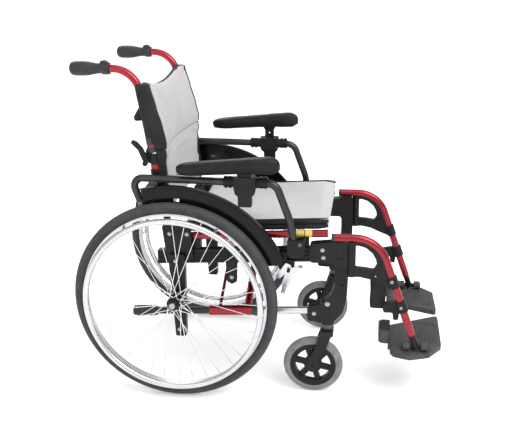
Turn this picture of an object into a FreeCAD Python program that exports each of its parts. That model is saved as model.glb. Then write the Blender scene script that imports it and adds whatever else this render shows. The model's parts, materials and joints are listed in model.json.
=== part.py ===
"""Folding manual wheelchair with flip-back arms and swing-away footrests.

Millimetres. The chair faces -Y, +Z is up and the ground is z = 0. The origin is on the ground,
under the middle of the chair. Side pieces are modelled on the +X (left) side and mirrored.
"""
import FreeCAD
import Part
import math
import os
from FreeCAD import Placement, Rotation, Vector

doc = FreeCAD.newDocument("Wheelchair")
sheet = doc.addObject("Spreadsheet::Sheet", "Sizes")

SIZES = {
    # overall layout
    "axle_y": 240,
    "wheel_radius": 305,
    "wheel_x": 286,
    "frame_slope": 3,
    "back_recline": 9,
    # main frame
    "tube_radius": 11,
    "low_rail_x": 222,
    "low_rail_z": 248,
    "top_rail_x": 216,
    "top_rail_z": 425,
    "top_rail_width": 24,
    "top_rail_tall": 42,
    "seat_tube_x": 213,
    "seat_tube_rise": 237,
    "cane_x": 213,
    "hanger_x": 229,
    "arm_x": 250,
    "sleeve_radius": 15,
    "brace_rod_radius": 5,
    "casting_width": 26,
    # wheels
    "tyre_radius": 17.5,
    "rim_width": 24,
    "rim_outer": 283,
    "rim_inner": 266,
    "handrim_radius": 259.5,
    "handrim_tube": 9,
    "handrim_x": 322,
    "spoke_radius": 1.1,
    "hub_radius": 14,
    "flange_radius": 20,
    "axle_radius": 6,
    # casters
    "caster_radius": 89.6,
    "caster_tyre": 14,
    "caster_x": 216,
    "stem_y": -205,
    "caster_trail": 42,
    "stem_radius": 8,
    # soft parts, arms and footrests
    "grip_radius": 20.5,
    "seat_half": 208,
    "seat_thick": 35,
    "back_thick": 38,
    "pad_width": 54,
    "pad_thick": 50,
    "pad_long": 300,
    "post_thick": 8,
    "post_wide": 30,
    "hanger_radius": 11.5,
    "inner_tube_radius": 9.5,
    "plate_thick": 16,
    "plate_tilt": 4,
    "running_gap": 0.05,
    "bolt_head": 4.5,
    "bolt_tall": 3.5,
}
for row, (alias, value) in enumerate(SIZES.items(), start=1):
    sheet.set(f"A{row}", alias)
    sheet.set(f"B{row}", str(value))
    sheet.setAlias(f"B{row}", alias)
doc.recompute()


def cell(alias):
    """The number held by a cell of the sheet."""
    return float(sheet.get(alias))


def size(thing, name, value):
    """Set a size: a text is an expression of sheet cells, a number is used as it is."""
    if isinstance(value, str):
        thing.setExpression(name, value)
    else:
        setattr(thing, name, value)


AXLE_Y = cell("axle_y")
SLOPE = math.tan(math.radians(cell("frame_slope")))
LEAN = math.tan(math.radians(cell("back_recline")))
CANE_BASE = Vector(cell("cane_x"), 294, 696)
X_AXIS = Vector(1, 0, 0)
Y_AXIS = Vector(0, 1, 0)
Z_AXIS = Vector(0, 0, 1)
pieces = []


def low_rail_z(y):
    """Height of the lower rail's centre line, which rises towards the front."""
    return cell("low_rail_z") - SLOPE * (y - AXLE_Y)


def top_rail_z(y):
    """Height of the upper rail's centre line."""
    return cell("top_rail_z") - SLOPE * (y - AXLE_Y)


def seat_tube_z(y):
    """Height of the seat tube's centre line."""
    return low_rail_z(y) + cell("seat_tube_rise")


def cane_point(z, x=None):
    """Point on the reclined back post at height z."""
    side = CANE_BASE.x if x is None else x
    return Vector(side, CANE_BASE.y + (z - CANE_BASE.z) * LEAN, z)


# ---------------------------------------------------------------- shape helpers

def rod(name, radius, start, end):
    """Round bar from one point to another."""
    start = Vector(start)
    end = Vector(end)
    bar = doc.addObject("Part::Cylinder", name)
    size(bar, "Radius", radius)
    bar.Height = (end - start).Length
    bar.Placement = Placement(start, Rotation(Z_AXIS, end - start))
    return bar


def block(name, corner, lengths):
    """Box from its lowest corner and its three lengths."""
    box = doc.addObject("Part::Box", name)
    for side, value in zip(("Length", "Width", "Height"), lengths):
        size(box, side, value)
    box.Placement = Placement(Vector(*corner), Rotation())
    return box


def torus(name, centre, major, minor):
    """Ring whose axis runs along X."""
    ring = doc.addObject("Part::Torus", name)
    size(ring, "Radius1", major)
    size(ring, "Radius2", minor)
    ring.Placement = Placement(Vector(*centre), Rotation(Z_AXIS, X_AXIS))
    return ring


def fuse(name, shapes):
    """One solid from shapes that touch."""
    joined = doc.addObject("Part::MultiFuse", name)
    joined.Shapes = shapes
    joined.Refine = True
    return joined


def cut(name, base, tool):
    """The base with the tool's shape removed."""
    left_over = doc.addObject("Part::Cut", name)
    left_over.Base = base
    left_over.Tool = tool
    return left_over


def group(name, shapes):
    """Several separate solids kept as one sub-part."""
    bundle = doc.addObject("Part::Compound", name)
    bundle.Links = shapes
    return bundle


def outline_edges(points, radius):
    """Closed outline through the corner points, each corner rounded by the radius."""
    corners = [Vector(p[0], p[1], 0) for p in points]
    count = len(corners)
    starts = []
    ends = []
    arcs = []
    for index, corner in enumerate(corners):
        before = corners[index - 1] - corner
        after = corners[(index + 1) % count] - corner
        reach = min(before.Length, after.Length)
        before.normalize()
        after.normalize()
        half = before.getAngle(after) / 2
        back_off = min(radius / math.tan(half), 0.45 * reach)
        bend = back_off * math.tan(half)
        first = corner + before * back_off
        last = corner + after * back_off
        to_centre = before + after
        to_centre.normalize()
        centre = corner + to_centre * (bend / math.sin(half))
        middle = centre - to_centre * bend
        arcs.append(Part.Arc(first, middle, last))
        starts.append(first)
        ends.append(last)
    edges = []
    for index in range(count):
        edges.append(arcs[index])
        edges.append(Part.LineSegment(ends[index], starts[(index + 1) % count]))
    return edges


def origin_plane(body, role):
    """One of the body's own origin planes."""
    return [f for f in body.Origin.OriginFeatures if f.Role == role][0]


def plate(name, outline, thick, offset, rounding=4, holes=(), windows=(), role="YZ_Plane"):
    """Flat plate padded from an outline sketch, with round holes and rounded windows.

    On the YZ plane the outline's points are (y, z) and the plate grows along +X from the offset.
    On the XY plane they are (x, y) and it grows along +Z.
    """
    body = doc.addObject("PartDesign::Body", name)
    sketch = body.newObject("Sketcher::SketchObject", name + "_outline")
    sketch.AttachmentSupport = (origin_plane(body, role), [""])
    sketch.MapMode = "FlatFace"
    for edge in outline_edges(outline, rounding):
        sketch.addGeometry(edge, False)
    for window in windows:
        for edge in outline_edges(window, rounding):
            sketch.addGeometry(edge, False)
    for across, up, radius in holes:
        sketch.addGeometry(Part.Circle(Vector(across, up, 0), Z_AXIS, radius), False)
    pad = body.newObject("PartDesign::Pad", name + "_pad")
    pad.Profile = sketch
    size(pad, "Length", thick)
    body.Tip = pad
    shift = Vector(offset, 0, 0) if role == "YZ_Plane" else Vector(0, 0, offset)
    body.Placement = Placement(shift, Rotation())
    return body


def turned(name, profile, start, direction):
    """Piece turned on a lathe: the profile's points are (distance along the axis, radius)."""
    body = doc.addObject("PartDesign::Body", name)
    sketch = body.newObject("Sketcher::SketchObject", name + "_profile")
    sketch.AttachmentSupport = (origin_plane(body, "XY_Plane"), [""])
    sketch.MapMode = "FlatFace"
    count = len(profile)
    for index in range(count):
        here = Vector(*profile[index], 0)
        there = Vector(*profile[(index + 1) % count], 0)
        sketch.addGeometry(Part.LineSegment(here, there), False)
    spin = body.newObject("PartDesign::Revolution", name + "_turn")
    spin.Profile = sketch
    spin.ReferenceAxis = (sketch, ["H_Axis"])
    spin.Angle = 360
    body.Tip = spin
    body.Placement = Placement(Vector(start), Rotation(X_AXIS, Vector(direction)))
    return body


def bent_path(points, bends):
    """Wire through the points, each inner corner turned into a tangent arc of its bend radius."""
    corners = [Vector(p) for p in points]
    edges = []
    here = corners[0]
    for index in range(1, len(corners) - 1):
        corner = corners[index]
        back = corners[index - 1] - corner
        ahead = corners[index + 1] - corner
        back.normalize()
        ahead.normalize()
        half = back.getAngle(ahead) / 2
        bend = bends[index - 1]
        reach = bend / math.tan(half)
        first = corner + back * reach
        last = corner + ahead * reach
        inward = back + ahead
        inward.normalize()
        middle = corner + inward * (bend / math.sin(half) - bend)
        edges.append(Part.LineSegment(here, first).toShape())
        edges.append(Part.Arc(first, middle, last).toShape())
        here = last
    edges.append(Part.LineSegment(here, corners[-1]).toShape())
    return Part.Wire(edges)


def bent_tube(name, points, bends, radius):
    """Round tube swept along a bent path."""
    path = doc.addObject("Part::Feature", name + "_path")
    path.Shape = bent_path(points, bends)
    ring = doc.addObject("Part::Circle", name + "_section")
    size(ring, "Radius", radius)
    start = Vector(points[0])
    ring.Placement = Placement(start, Rotation(Z_AXIS, Vector(points[1]) - start))
    tube = doc.addObject("Part::Sweep", name)
    tube.Sections = [ring]
    tube.Spine = (path, [f"Edge{n + 1}" for n in range(len(path.Shape.Edges))])
    tube.Solid = True
    return tube


def keep(label, thing):
    """Register a finished sub-part under its node name."""
    thing.Label = label
    pieces.append(thing)


def pair(name, thing):
    """Register the left sub-part and its mirror image on the right."""
    keep(name + "_left", thing)
    twin = doc.addObject("Part::Mirroring", name + "_mirror")
    twin.Source = thing
    twin.Base = Vector(0, 0, 0)
    twin.Normal = X_AXIS
    keep(name + "_right", twin)


# ---------------------------------------------------------------- side frame

TUBE = "Sizes.tube_radius"
AXLE_FIT = "Sizes.axle_radius + Sizes.running_gap"
SEAT_TUBE_FRONT = -203
SEAT_TUBE_REAR = 236
RAIL_FRONT = -178
RAIL_REAR = 301


def rail_box(name, y_front, y_rear):
    """Stretch of the upper rail's rectangular section between two depths."""
    half_tall = cell("top_rail_tall") / 2
    outline = [
        (y_front, top_rail_z(y_front) - half_tall),
        (y_rear, top_rail_z(y_rear) - half_tall),
        (y_rear, top_rail_z(y_rear) + half_tall),
        (y_front, top_rail_z(y_front) + half_tall),
    ]
    inner_x = cell("top_rail_x") - cell("top_rail_width") / 2
    return plate(name, outline, "Sizes.top_rail_width", inner_x, rounding=3)


def build_upper_rail():
    """Ribbed rectangular rail with two saddles for the seat tube and a hanging link tab."""
    x = cell("top_rail_x")
    half_tall = cell("top_rail_tall") / 2
    width = cell("top_rail_width")
    saddle_x = cell("seat_tube_x")
    parts = [rail_box("rail_bar", RAIL_FRONT, RAIL_REAR)]
    for index, y in enumerate((-134, 185)):
        foot = top_rail_z(y) + half_tall - 4
        top = seat_tube_z(y) + 2
        parts.append(block(f"saddle_{index}", (saddle_x - 10, y - 15, foot), (20, 30, top - foot)))
    tab_top = top_rail_z(80) - half_tall + 2
    tab_outline = [(62, tab_top), (98, tab_top), (95, 348), (80, 340), (65, 348)]
    parts.append(plate("link_tab", tab_outline, 6, x - 3, rounding=6))
    body = fuse("upper_rail_body", parts)
    grooves = []
    outer = x + width / 2
    for index, offset in enumerate((-11, 0, 11)):
        start = Vector(outer + 1.6, RAIL_FRONT - 5, top_rail_z(RAIL_FRONT - 5) + offset)
        end = Vector(outer + 1.6, RAIL_REAR + 5, top_rail_z(RAIL_REAR + 5) + offset)
        grooves.append(rod(f"rail_groove_{index}", 3.6, start, end))
    front = SEAT_TUBE_FRONT - 5
    rear = SEAT_TUBE_REAR + 5
    bed = rod("seat_tube_bed", "Sizes.tube_radius + 0.3", (saddle_x, front, seat_tube_z(front)),
              (saddle_x, rear, seat_tube_z(rear)))
    mouth_half = cell("tube_radius") + 0.3
    mouth_outline = [(front, seat_tube_z(front)), (rear, seat_tube_z(rear)), (rear, 560), (front, 560)]
    mouth = plate("saddle_mouth", mouth_outline, 2 * mouth_half, saddle_x - mouth_half, rounding=1)
    pair("upper_rail", cut("upper_rail", body, fuse("rail_cuts", grooves + [bed, mouth])))


TIP_END = 387
GRIP_FRONT = 314


def build_lower_rail():
    """Lower rail, whose rear end is the tipping lever with a rubber grip."""
    x = cell("low_rail_x")
    front = Vector(x, RAIL_FRONT, low_rail_z(RAIL_FRONT))
    rear = Vector(x, TIP_END - 4, low_rail_z(TIP_END - 4))
    bar = rod("low_bar", TUBE, front, rear)
    along = rear - front
    along.normalize()
    start = Vector(x, GRIP_FRONT, low_rail_z(GRIP_FRONT))
    wall = cell("tube_radius")
    long = (TIP_END - GRIP_FRONT) / math.cos(math.radians(cell("frame_slope")))
    profile = [(0, wall), (0, wall + 4)]
    for rib in range(6):
        at = 6 + rib * (long - 14) / 6
        profile += [(at, wall + 4), (at + 3, wall + 5.5), (at + 7, wall + 5.5), (at + 8.5, wall + 4)]
    profile += [(long - 2, wall + 4), (long, wall + 2), (long, 0), (long - 3.95, 0), (long - 3.95, wall)]
    grip = turned("tip_grip", profile, start, along)
    pair("lower_rail", group("lower_rail", [bar, grip]))


CARRIER_TOP = 440
CARRIER_FOOT = 178
ARM_PIVOT = (334, 594)
GUARD_X = 263
HINGE_Z = 733
HINGE_PIN = 4
HINGE_OFFSET = 15
EAR_INSET = 5
LATCH_PIVOT = (317, 721)


def hinge_pin_at():
    """Point (y, z) of the back hinge, just behind the post."""
    return cane_point(HINGE_Z).y + HINGE_OFFSET, HINGE_Z


def hinge_ears():
    """Two ears of the lower post with the hinge pin and the pin of the release lever."""
    y, z = hinge_pin_at()
    x = cell("cane_x")
    outline = [
        (y - 22, z - 2), (y - 22, z - 30), (y - 2, z - 26), (y + 7, z - 14),
        (y + 6.5, z + 6.5), (y - 6.5, z + 6.5), (y - 7, z - 2),
    ]
    ears = []
    for index, shift in enumerate((-2 * EAR_INSET, EAR_INSET)):
        ears.append(plate(f"low_ear_{index}", outline, EAR_INSET, x + shift, rounding=5))
    ears.append(rod("back_hinge_pin", HINGE_PIN, (x - 10, y, z), (x + 10, y, z)))
    ears.append(rod("latch_pin", 3, (x + 5, *LATCH_PIVOT), (x + 23, *LATCH_PIVOT)))
    return ears


def build_rear_bracket():
    """Tapered axle carrier, its clamp plate on both rails, and the lower back post with arm lug."""
    x_in = cell("top_rail_x") + cell("top_rail_width") / 2
    rail_x = cell("low_rail_x")
    carrier_outline = [(218, CARRIER_FOOT), (250, CARRIER_FOOT), (262, CARRIER_TOP), (212, CARRIER_TOP)]
    carrier = plate("axle_carrier", carrier_outline, 21, 233.6, rounding=5)
    clamp_outline = [(196, 523), (190, 424), (216, 408), (256, 408), (268, 424), (274, 523)]
    clamp = plate("clamp_plate", clamp_outline, 12, x_in, rounding=10)
    y = 238
    collar_half = 16
    collar = rod("rail_collar", 15.5, (rail_x, y - collar_half, low_rail_z(y - collar_half)),
                 (rail_x, y + collar_half, low_rail_z(y + collar_half)))
    neck = block("collar_neck", (rail_x, y - 12, low_rail_z(y) - 12), (20, 24, 24))
    base = fuse("bracket_base", [carrier, clamp, collar, neck])
    height = cell("wheel_radius")
    bore = rod("axle_bore", AXLE_FIT, (225, AXLE_Y, height), (265, AXLE_Y, height))
    rail = rod("rail_hole", TUBE, (rail_x, 180, low_rail_z(180)), (rail_x, 300, low_rail_z(300)))
    top_block = plate("cane_block", [(238, 447), (276, 445), (284, 520), (248, 520)], 28, 200, rounding=4)
    post_foot = cane_point(450)
    post = rod("low_cane", TUBE, post_foot, cane_point(HINGE_Z - 2))
    socket = rod("cane_socket", 19, cane_point(655), cane_point(690))
    ring = rod("cane_ring", 15.5, cane_point(690), cane_point(704))
    knuckle = rod("cane_knuckle", 14, cane_point(704), cane_point(HINGE_Z - 3))
    pin_y, pin_z = hinge_pin_at()
    ear_room = rod("low_ear_room", 9.2, (cell("cane_x") - EAR_INSET, pin_y, pin_z),
                   (cell("cane_x") + EAR_INSET, pin_y, pin_z))
    hinge_post = cut("hinge_post", fuse("hinge_post_body", [post, knuckle]), ear_room)
    post_x = cell("cane_x")
    lug_outline = [(272, 610), (268, 575), (330, 580), (346, 594), (336, 608)]
    lug = plate("arm_lug", lug_outline, 8, post_x + 12, rounding=6)
    lug_root = block("arm_lug_root", (post_x - 2, 268, 580), (20, 24, 28))
    pin = rod("arm_pin", "Sizes.axle_radius", (post_x + 14, *ARM_PIVOT), (262, *ARM_PIVOT))
    stay = rod("guard_stay", 5, (post_x + 5, 289, 640), (GUARD_X - 0.2, 289, 640))
    bracket = cut("bracket", base, fuse("bracket_bores", [bore, rail]))
    shapes = [bracket, top_block, hinge_post, socket, ring, lug, lug_root, pin, stay] + hinge_ears()
    pair("rear_bracket", fuse("rear_bracket_all", shapes))


POST_TOP = 489
HANGER_AXIS_Y = -272
LUG_FOOT = 440
LUG_TOP = 468


def build_front_casting():
    """Front casting: clamps for both rails, the curved post, the caster housing and the hanger's lug."""
    x = cell("top_rail_x")
    half = cell("casting_width") / 2
    outline = [
        (-152, 480), (-152, 424), (-224, 424), (-225, 398), (-224, 358), (-215, 325), (-182, 291),
        (-146, 285), (-146, 240), (-184, 238), (-222, 238), (-249, 270), (-261, 319), (-264, 405),
        (-262, POST_TOP), (-232, POST_TOP),
    ]
    shell = plate("casting_shell", outline, "Sizes.casting_width + 6", x - half, rounding=9)
    caster_x = cell("caster_x")
    stem_y = cell("stem_y")
    housing = rod("caster_housing", 20, (caster_x, stem_y, 227), (caster_x, stem_y, 304))
    hanger_x = cell("hanger_x")
    lug = rod("hanger_lug", 12, (hanger_x, HANGER_AXIS_Y, LUG_FOOT), (hanger_x, HANGER_AXIS_Y, LUG_TOP))
    lug_root = block("hanger_lug_root", (hanger_x - 8, HANGER_AXIS_Y, LUG_FOOT),
                     (13, 20, LUG_TOP - LUG_FOOT))
    body = fuse("casting_body", [shell, housing])
    low_rail = rod("low_rail_seat", TUBE, (cell("low_rail_x"), RAIL_FRONT, low_rail_z(RAIL_FRONT)),
                   (cell("low_rail_x"), -100, low_rail_z(-100)))
    top_seat = rail_box("top_rail_seat", RAIL_FRONT, -100)
    stem_bore = rod("stem_bore", "Sizes.stem_radius + Sizes.running_gap", (caster_x, stem_y, 220),
                    (caster_x, stem_y, 286))
    eye_room = rod("casting_eye_room", 14, (hanger_x, HANGER_AXIS_Y, 370), (hanger_x, HANGER_AXIS_Y, 500))
    recess_x = x + half + 3
    recess_outline = [(-231, 470), (-231, 436), (-252, 438), (-251, 472)]
    recess = plate("casting_recess", recess_outline, 4, recess_x, rounding=5)
    low_outline = [(-232, 420), (-231, 362), (-252, 352), (-254, 420)]
    recess_low = plate("casting_recess_low", low_outline, 4, recess_x, rounding=5)
    voids = [low_rail, top_seat, stem_bore, eye_room, recess, recess_low]
    carved = cut("casting_carved", body, group("casting_voids", voids))
    lugged = fuse("casting_lugged", [carved, lug, lug_root])
    lug_bore = rod("lug_bore", AXLE_FIT, (hanger_x, HANGER_AXIS_Y, LUG_FOOT - 10),
                   (hanger_x, HANGER_AXIS_Y, LUG_TOP + 10))
    pair("front_casting", cut("front_casting", lugged, lug_bore))


def hex_bolt(name, x, y, z, head):
    """Hexagon bolt head with a washer, standing out along +X."""
    washer_thick = 1.2
    washer = rod(name + "_washer", head + 1.5, (x, y, z), (x + washer_thick, y, z))
    cap = doc.addObject("Part::Prism", name + "_head")
    cap.Polygon = 6
    cap.Circumradius = head
    size(cap, "Height", "Sizes.bolt_tall")
    cap.Placement = Placement(Vector(x + washer_thick, y, z), Rotation(Z_AXIS, X_AXIS))
    return fuse(name, [washer, cap])


def build_frame_bolts():
    """Bolt heads on the castings, the rear bracket, the arm pivot and the link tab."""
    casting_face = cell("top_rail_x") + cell("casting_width") / 2 + 6
    clamp_face = cell("top_rail_x") + cell("top_rail_width") / 2 + 12
    carrier_face = 254.6
    housing_face = cell("caster_x") + 20
    head = cell("bolt_head")
    places = [
        (casting_face, -189, 464, head),
        (casting_face, -192, 441, head),
        (casting_face, -166, 264, head),
        (housing_face, cell("stem_y"), 297, head + 1.5),
        (clamp_face, 206, 500, head),
        (clamp_face, 258, 500, head),
        (carrier_face, 240, 420, head),
        (carrier_face, 238, 200, head),
        (cell("top_rail_x") + 3, 80, 362, head),
        (262, *ARM_PIVOT, head + 1.5),
    ]
    bolts = [hex_bolt(f"bolt_{index}", *place) for index, place in enumerate(places)]
    pair("frame_bolts", group("frame_bolts", bolts))


GUARD_RADIUS = 350


def guard_point(degrees, radius):
    """Point of the side guard at an angle from straight up, positive towards the front."""
    turn = math.radians(degrees)
    return (AXLE_Y - radius * math.sin(turn), cell("wheel_radius") + radius * math.cos(turn))


def arc_band(name, first, last, inner, outer, x, thick):
    """Curved band concentric with the wheel, between two angles."""
    middle = (first + last) / 2

    def at(degrees, radius):
        y, z = guard_point(degrees, radius)
        return Vector(x, y, z)

    edges = [
        Part.Arc(at(first, outer), at(middle, outer), at(last, outer)).toShape(),
        Part.LineSegment(at(last, outer), at(last, inner)).toShape(),
        Part.Arc(at(last, inner), at(middle, inner), at(first, inner)).toShape(),
        Part.LineSegment(at(first, inner), at(first, outer)).toShape(),
    ]
    band = doc.addObject("Part::Feature", name)
    band.Shape = Part.Face(Part.Wire(edges)).extrude(Vector(thick, 0, 0))
    return band


def build_fender():
    """Side guard between seat and wheel, with an outward lip over the tyre and two slots."""
    x = GUARD_X
    thick = 2.6
    sheet_part = arc_band("guard_sheet", -15, 66, 262, GUARD_RADIUS, x, thick)
    lip = arc_band("guard_lip", -15, 66, GUARD_RADIUS - 3, GUARD_RADIUS, x, 13)
    hem = arc_band("guard_hem", -15, 66, GUARD_RADIUS - 12, GUARD_RADIUS - 10, x, 4.2)
    foot = plate("guard_foot", [(-75, 452), (-78, 424), (-30, 420), (-18, 440)], thick, x, rounding=6)
    slots = []
    for index, degrees in enumerate((-10.8, 2.7)):
        slots.append(arc_band(f"guard_slot_{index}", degrees - 1.5, degrees + 1.5, 302, 311, x - 2, 8))
    body = fuse("guard_body", [sheet_part, lip, hem, foot])
    spacer = rod("guard_spacer", 5, (cell("top_rail_x") + 12, -42, 447), (x, -42, 447))
    pair("fender", group("fender", [cut("guard", body, fuse("guard_slots", slots)), spacer]))


# ---------------------------------------------------------------- back posts

GRIP_Z = 975
GRIP_START = 412
GRIP_END = 526
CANE_BEND = 80


def build_upper_cane():
    """Upper back post, bent to the rear for the push handle, with its folding knuckle."""
    x = cell("cane_x")
    corner = cane_point(GRIP_Z)
    tube = bent_tube("cane_tube", [cane_point(HINGE_Z + 8), corner, Vector(x, GRIP_END - 6, GRIP_Z)],
                     [CANE_BEND], TUBE)
    knuckle = rod("upper_knuckle", 14, cane_point(HINGE_Z + 4), cane_point(HINGE_Z + 48))
    y, z = hinge_pin_at()
    room = rod("upper_ear_room", 9.5, (x - 20, y, z), (x + 20, y, z))
    ear_outline = [
        (y - 14, z + 30), (y - 14, z + 4), (y - 6, z - 6), (y + 6, z - 6), (y + 6, z + 8), (y - 2, z + 30),
    ]
    ear = plate("upper_ear", ear_outline, 2 * EAR_INSET - 0.6, x - EAR_INSET + 0.3, rounding=5)
    bore = rod("upper_ear_bore", HINGE_PIN + 0.05, (x - 20, y, z), (x + 20, y, z))
    post = cut("upper_post", fuse("upper_post_body", [tube, knuckle]), room)
    pair("upper_cane", cut("upper_cane", fuse("upper_cane_body", [post, ear]), bore))


def build_push_grip():
    """Moulded handle: a collar with a raised thumb rest in front, a waist and a full palm swell behind."""
    x = cell("cane_x")
    wall = cell("tube_radius")
    long = GRIP_END - GRIP_START
    swell = cell("grip_radius")
    profile = [
        (0, wall), (0, swell - 4.5), (3, swell - 3.5), (18, swell - 3.5), (23, swell - 6), (36, swell - 6),
        (48, swell - 3.8), (58, swell - 1.6), (70, swell - 0.3), (84, swell), (98, swell - 0.3),
        (106, swell - 1.5), (111, swell - 4), (long, swell - 8), (long, 0), (long - 5.95, 0),
        (long - 5.95, wall),
    ]
    handle = turned("grip_handle", profile, (x, GRIP_START, GRIP_Z), Y_AXIS)
    rest_outline = [
        (GRIP_START + 2, GRIP_Z + 13), (GRIP_START + 3, GRIP_Z + 17), (GRIP_START + 14, GRIP_Z + 23),
        (GRIP_START + 24, GRIP_Z + 21), (GRIP_START + 27, GRIP_Z + 13),
    ]
    rest = plate("grip_rest", rest_outline, 14, x - 7, rounding=3)
    pair("push_grip", fuse("push_grip", [handle, rest]))


def build_back_latch():
    """Release lever of the folding back, with its link and knob, outside the post."""
    y, z = LATCH_PIVOT
    x = cell("cane_x") + 15
    lever_outline = [
        (y - 9, z - 8), (y + 8, z - 10), (y + 22, z + 26), (y + 42, z + 46),
        (y + 38, z + 56), (y + 24, z + 50), (y + 8, z + 32),
    ]
    lever = plate("latch_lever", lever_outline, 6, x, rounding=4)
    knob = rod("latch_knob", 7.5, (x - 1, y + 4, z - 13), (x + 7, y + 4, z - 13))
    bore = rod("latch_bore", 3.05, (x - 5, y, z), (x + 10, y, z))
    pair("back_latch", cut("back_latch", fuse("latch_body", [lever, knob]), bore))


# ---------------------------------------------------------------- arms

ARM_END = (-112, 466)
ARM_TOP_Z = 662
ARM_REAR = (361, 671)
ARM_FRONT = (-58, ARM_TOP_Z)
SOCKET_TOP = 500


def build_arm_tube():
    """Looped arm tube from the rear pivot over the wheel and down to the front socket."""
    x = cell("arm_x")
    points = [
        Vector(x, ARM_PIVOT[0], ARM_PIVOT[1]),
        Vector(x, *ARM_REAR),
        Vector(x, *ARM_FRONT),
        Vector(x, -98, 552),
        Vector(x, ARM_END[0], ARM_END[1]),
    ]
    tube = bent_tube("arm_bar", points, [25, 34, 150], TUBE)
    eye = rod("arm_eye", 14, (x - 10, *ARM_PIVOT), (x + 10, *ARM_PIVOT))
    bore = rod("arm_eye_bore", AXLE_FIT, (x - 15, *ARM_PIVOT),
               (x + 15, *ARM_PIVOT))
    pair("arm_tube", cut("arm_tube", fuse("arm_tube_body", [tube, eye]), bore))


HOLDER_Y = 27
HOLDER_TOP = 684
HOLDER_FOOT = 599
POST_X = 268.5
POST_HEAD = 696
POST_HOLE_Z = 672


def build_arm_holder():
    """T-shaped ribbed clamp on the arm tube, with the slot that guides the pad's post."""
    x = cell("arm_x")
    half = 62
    front = (x, HOLDER_Y - half, ARM_TOP_Z + 1.8)
    rear = (x, HOLDER_Y + half, ARM_TOP_Z + 4.2)
    sleeve = rod("holder_sleeve", 15.5, front, rear)
    ribs = []
    rib_z = ARM_TOP_Z + 3
    for index, shift in enumerate((-56, -44, 44, 56)):
        y = HOLDER_Y + shift
        ribs.append(rod(f"holder_rib_{index}", 17.4, (x, y - 3, rib_z), (x, y + 3, rib_z)))
    shoulder = 31
    stem = 19.5
    outline = [
        (HOLDER_Y - shoulder, HOLDER_TOP), (HOLDER_Y - shoulder, 652), (HOLDER_Y - 27, 635),
        (HOLDER_Y - stem, 630), (HOLDER_Y - stem, HOLDER_FOOT), (HOLDER_Y + stem, HOLDER_FOOT),
        (HOLDER_Y + stem, 630), (HOLDER_Y + 27, 635), (HOLDER_Y + shoulder, 652),
        (HOLDER_Y + shoulder, HOLDER_TOP),
    ]
    housing = plate("holder_housing", outline, 16, 260.5, rounding=4)
    cheek_outline = [
        (HOLDER_Y - 27, HOLDER_TOP), (HOLDER_Y - 27, 644), (HOLDER_Y + 27, 644), (HOLDER_Y + 27, HOLDER_TOP),
    ]
    cheek = plate("holder_cheek", cheek_outline, 30, x - 17, rounding=5)
    body = fuse("holder_body", [sleeve, housing, cheek] + ribs)
    tube = rod("holder_bore", TUBE, (x, *ARM_FRONT), (x, *ARM_REAR))
    wide = cell("post_wide") + 0.2
    thick = cell("post_thick") + 0.2
    slot = block("holder_slot", (POST_X - thick / 2, HOLDER_Y - wide / 2, 560), (thick, wide, 160))
    pair("arm_holder", cut("arm_holder", body, fuse("holder_voids", [tube, slot])))


PAD_MID = Vector(264, 74, 688.5)
PAD_TILT = 3.4
PAD_ROUND = 15


def build_arm_pad(side, lift):
    """Padded rest and its flat post; lift is how far the post is drawn out of the holder."""
    name = "left" if side > 0 else "right"
    long = cell("pad_long")
    pad = block(f"pad_{name}", (-cell("pad_width") / 2, -long / 2, 0),
                ("Sizes.pad_width", "Sizes.pad_long", "Sizes.pad_thick"))
    soft = doc.addObject("Part::Fillet", f"pad_soft_{name}")
    soft.Base = pad
    doc.recompute()
    edges = enumerate(pad.Shape.Edges, start=1)
    upper = [number for number, edge in edges if edge.BoundBox.ZMin > 1 or edge.BoundBox.ZLength > 1]
    soft.Edges = [(number, PAD_ROUND, PAD_ROUND) for number in upper]
    middle = Vector(side * PAD_MID.x, PAD_MID.y, PAD_MID.z + lift)
    soft.Placement = Placement(middle, Rotation(X_AXIS, -PAD_TILT))
    post_x = side * POST_X
    corner = (post_x - cell("post_thick") / 2, HOLDER_Y - cell("post_wide") / 2, HOLDER_FOOT + lift)
    post = block(f"post_{name}", corner, ("Sizes.post_thick", "Sizes.post_wide", POST_HEAD - HOLDER_FOOT))
    hole_z = POST_HOLE_Z + lift
    hole = rod(f"post_hole_{name}", 3, (post_x - 8, HOLDER_Y, hole_z), (post_x + 8, HOLDER_Y, hole_z))
    keep(f"arm_pad_{name}", fuse(f"arm_pad_{name}", [soft, cut(f"post_cut_{name}", post, hole)]))


BUTTON_AT = (-127, 489)
BUTTON_RADIUS = 6


def build_arm_socket():
    """Socket on the upper rail that receives the arm tube, open at the top."""
    outline = [
        (-141, SOCKET_TOP), (-141, 462), (-128, 447), (-100, 447), (-90, 460), (-90, SOCKET_TOP),
    ]
    cup = plate("socket_cup", outline, 30, 235, rounding=4)
    neck = block("socket_neck", (cell("top_rail_x") + cell("top_rail_width") / 2, -135, 438), (10, 38, 22))
    room = block("socket_room", (238.8, -136, ARM_END[1] - 12), (22.4, 42, 60))
    button = rod("button_bore", BUTTON_RADIUS + 0.06, (258, *BUTTON_AT), (270, *BUTTON_AT))
    body = fuse("socket_body", [cup, neck])
    pair("arm_socket", cut("arm_socket", body, fuse("socket_voids", [room, button])))


def build_arm_latch():
    """Push button in the outer wall of the socket that frees the arm tube."""
    pair("arm_latch", rod("button_stem", BUTTON_RADIUS, (261.4, *BUTTON_AT), (268.8, *BUTTON_AT)))


# ---------------------------------------------------------------- drive wheels

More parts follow.
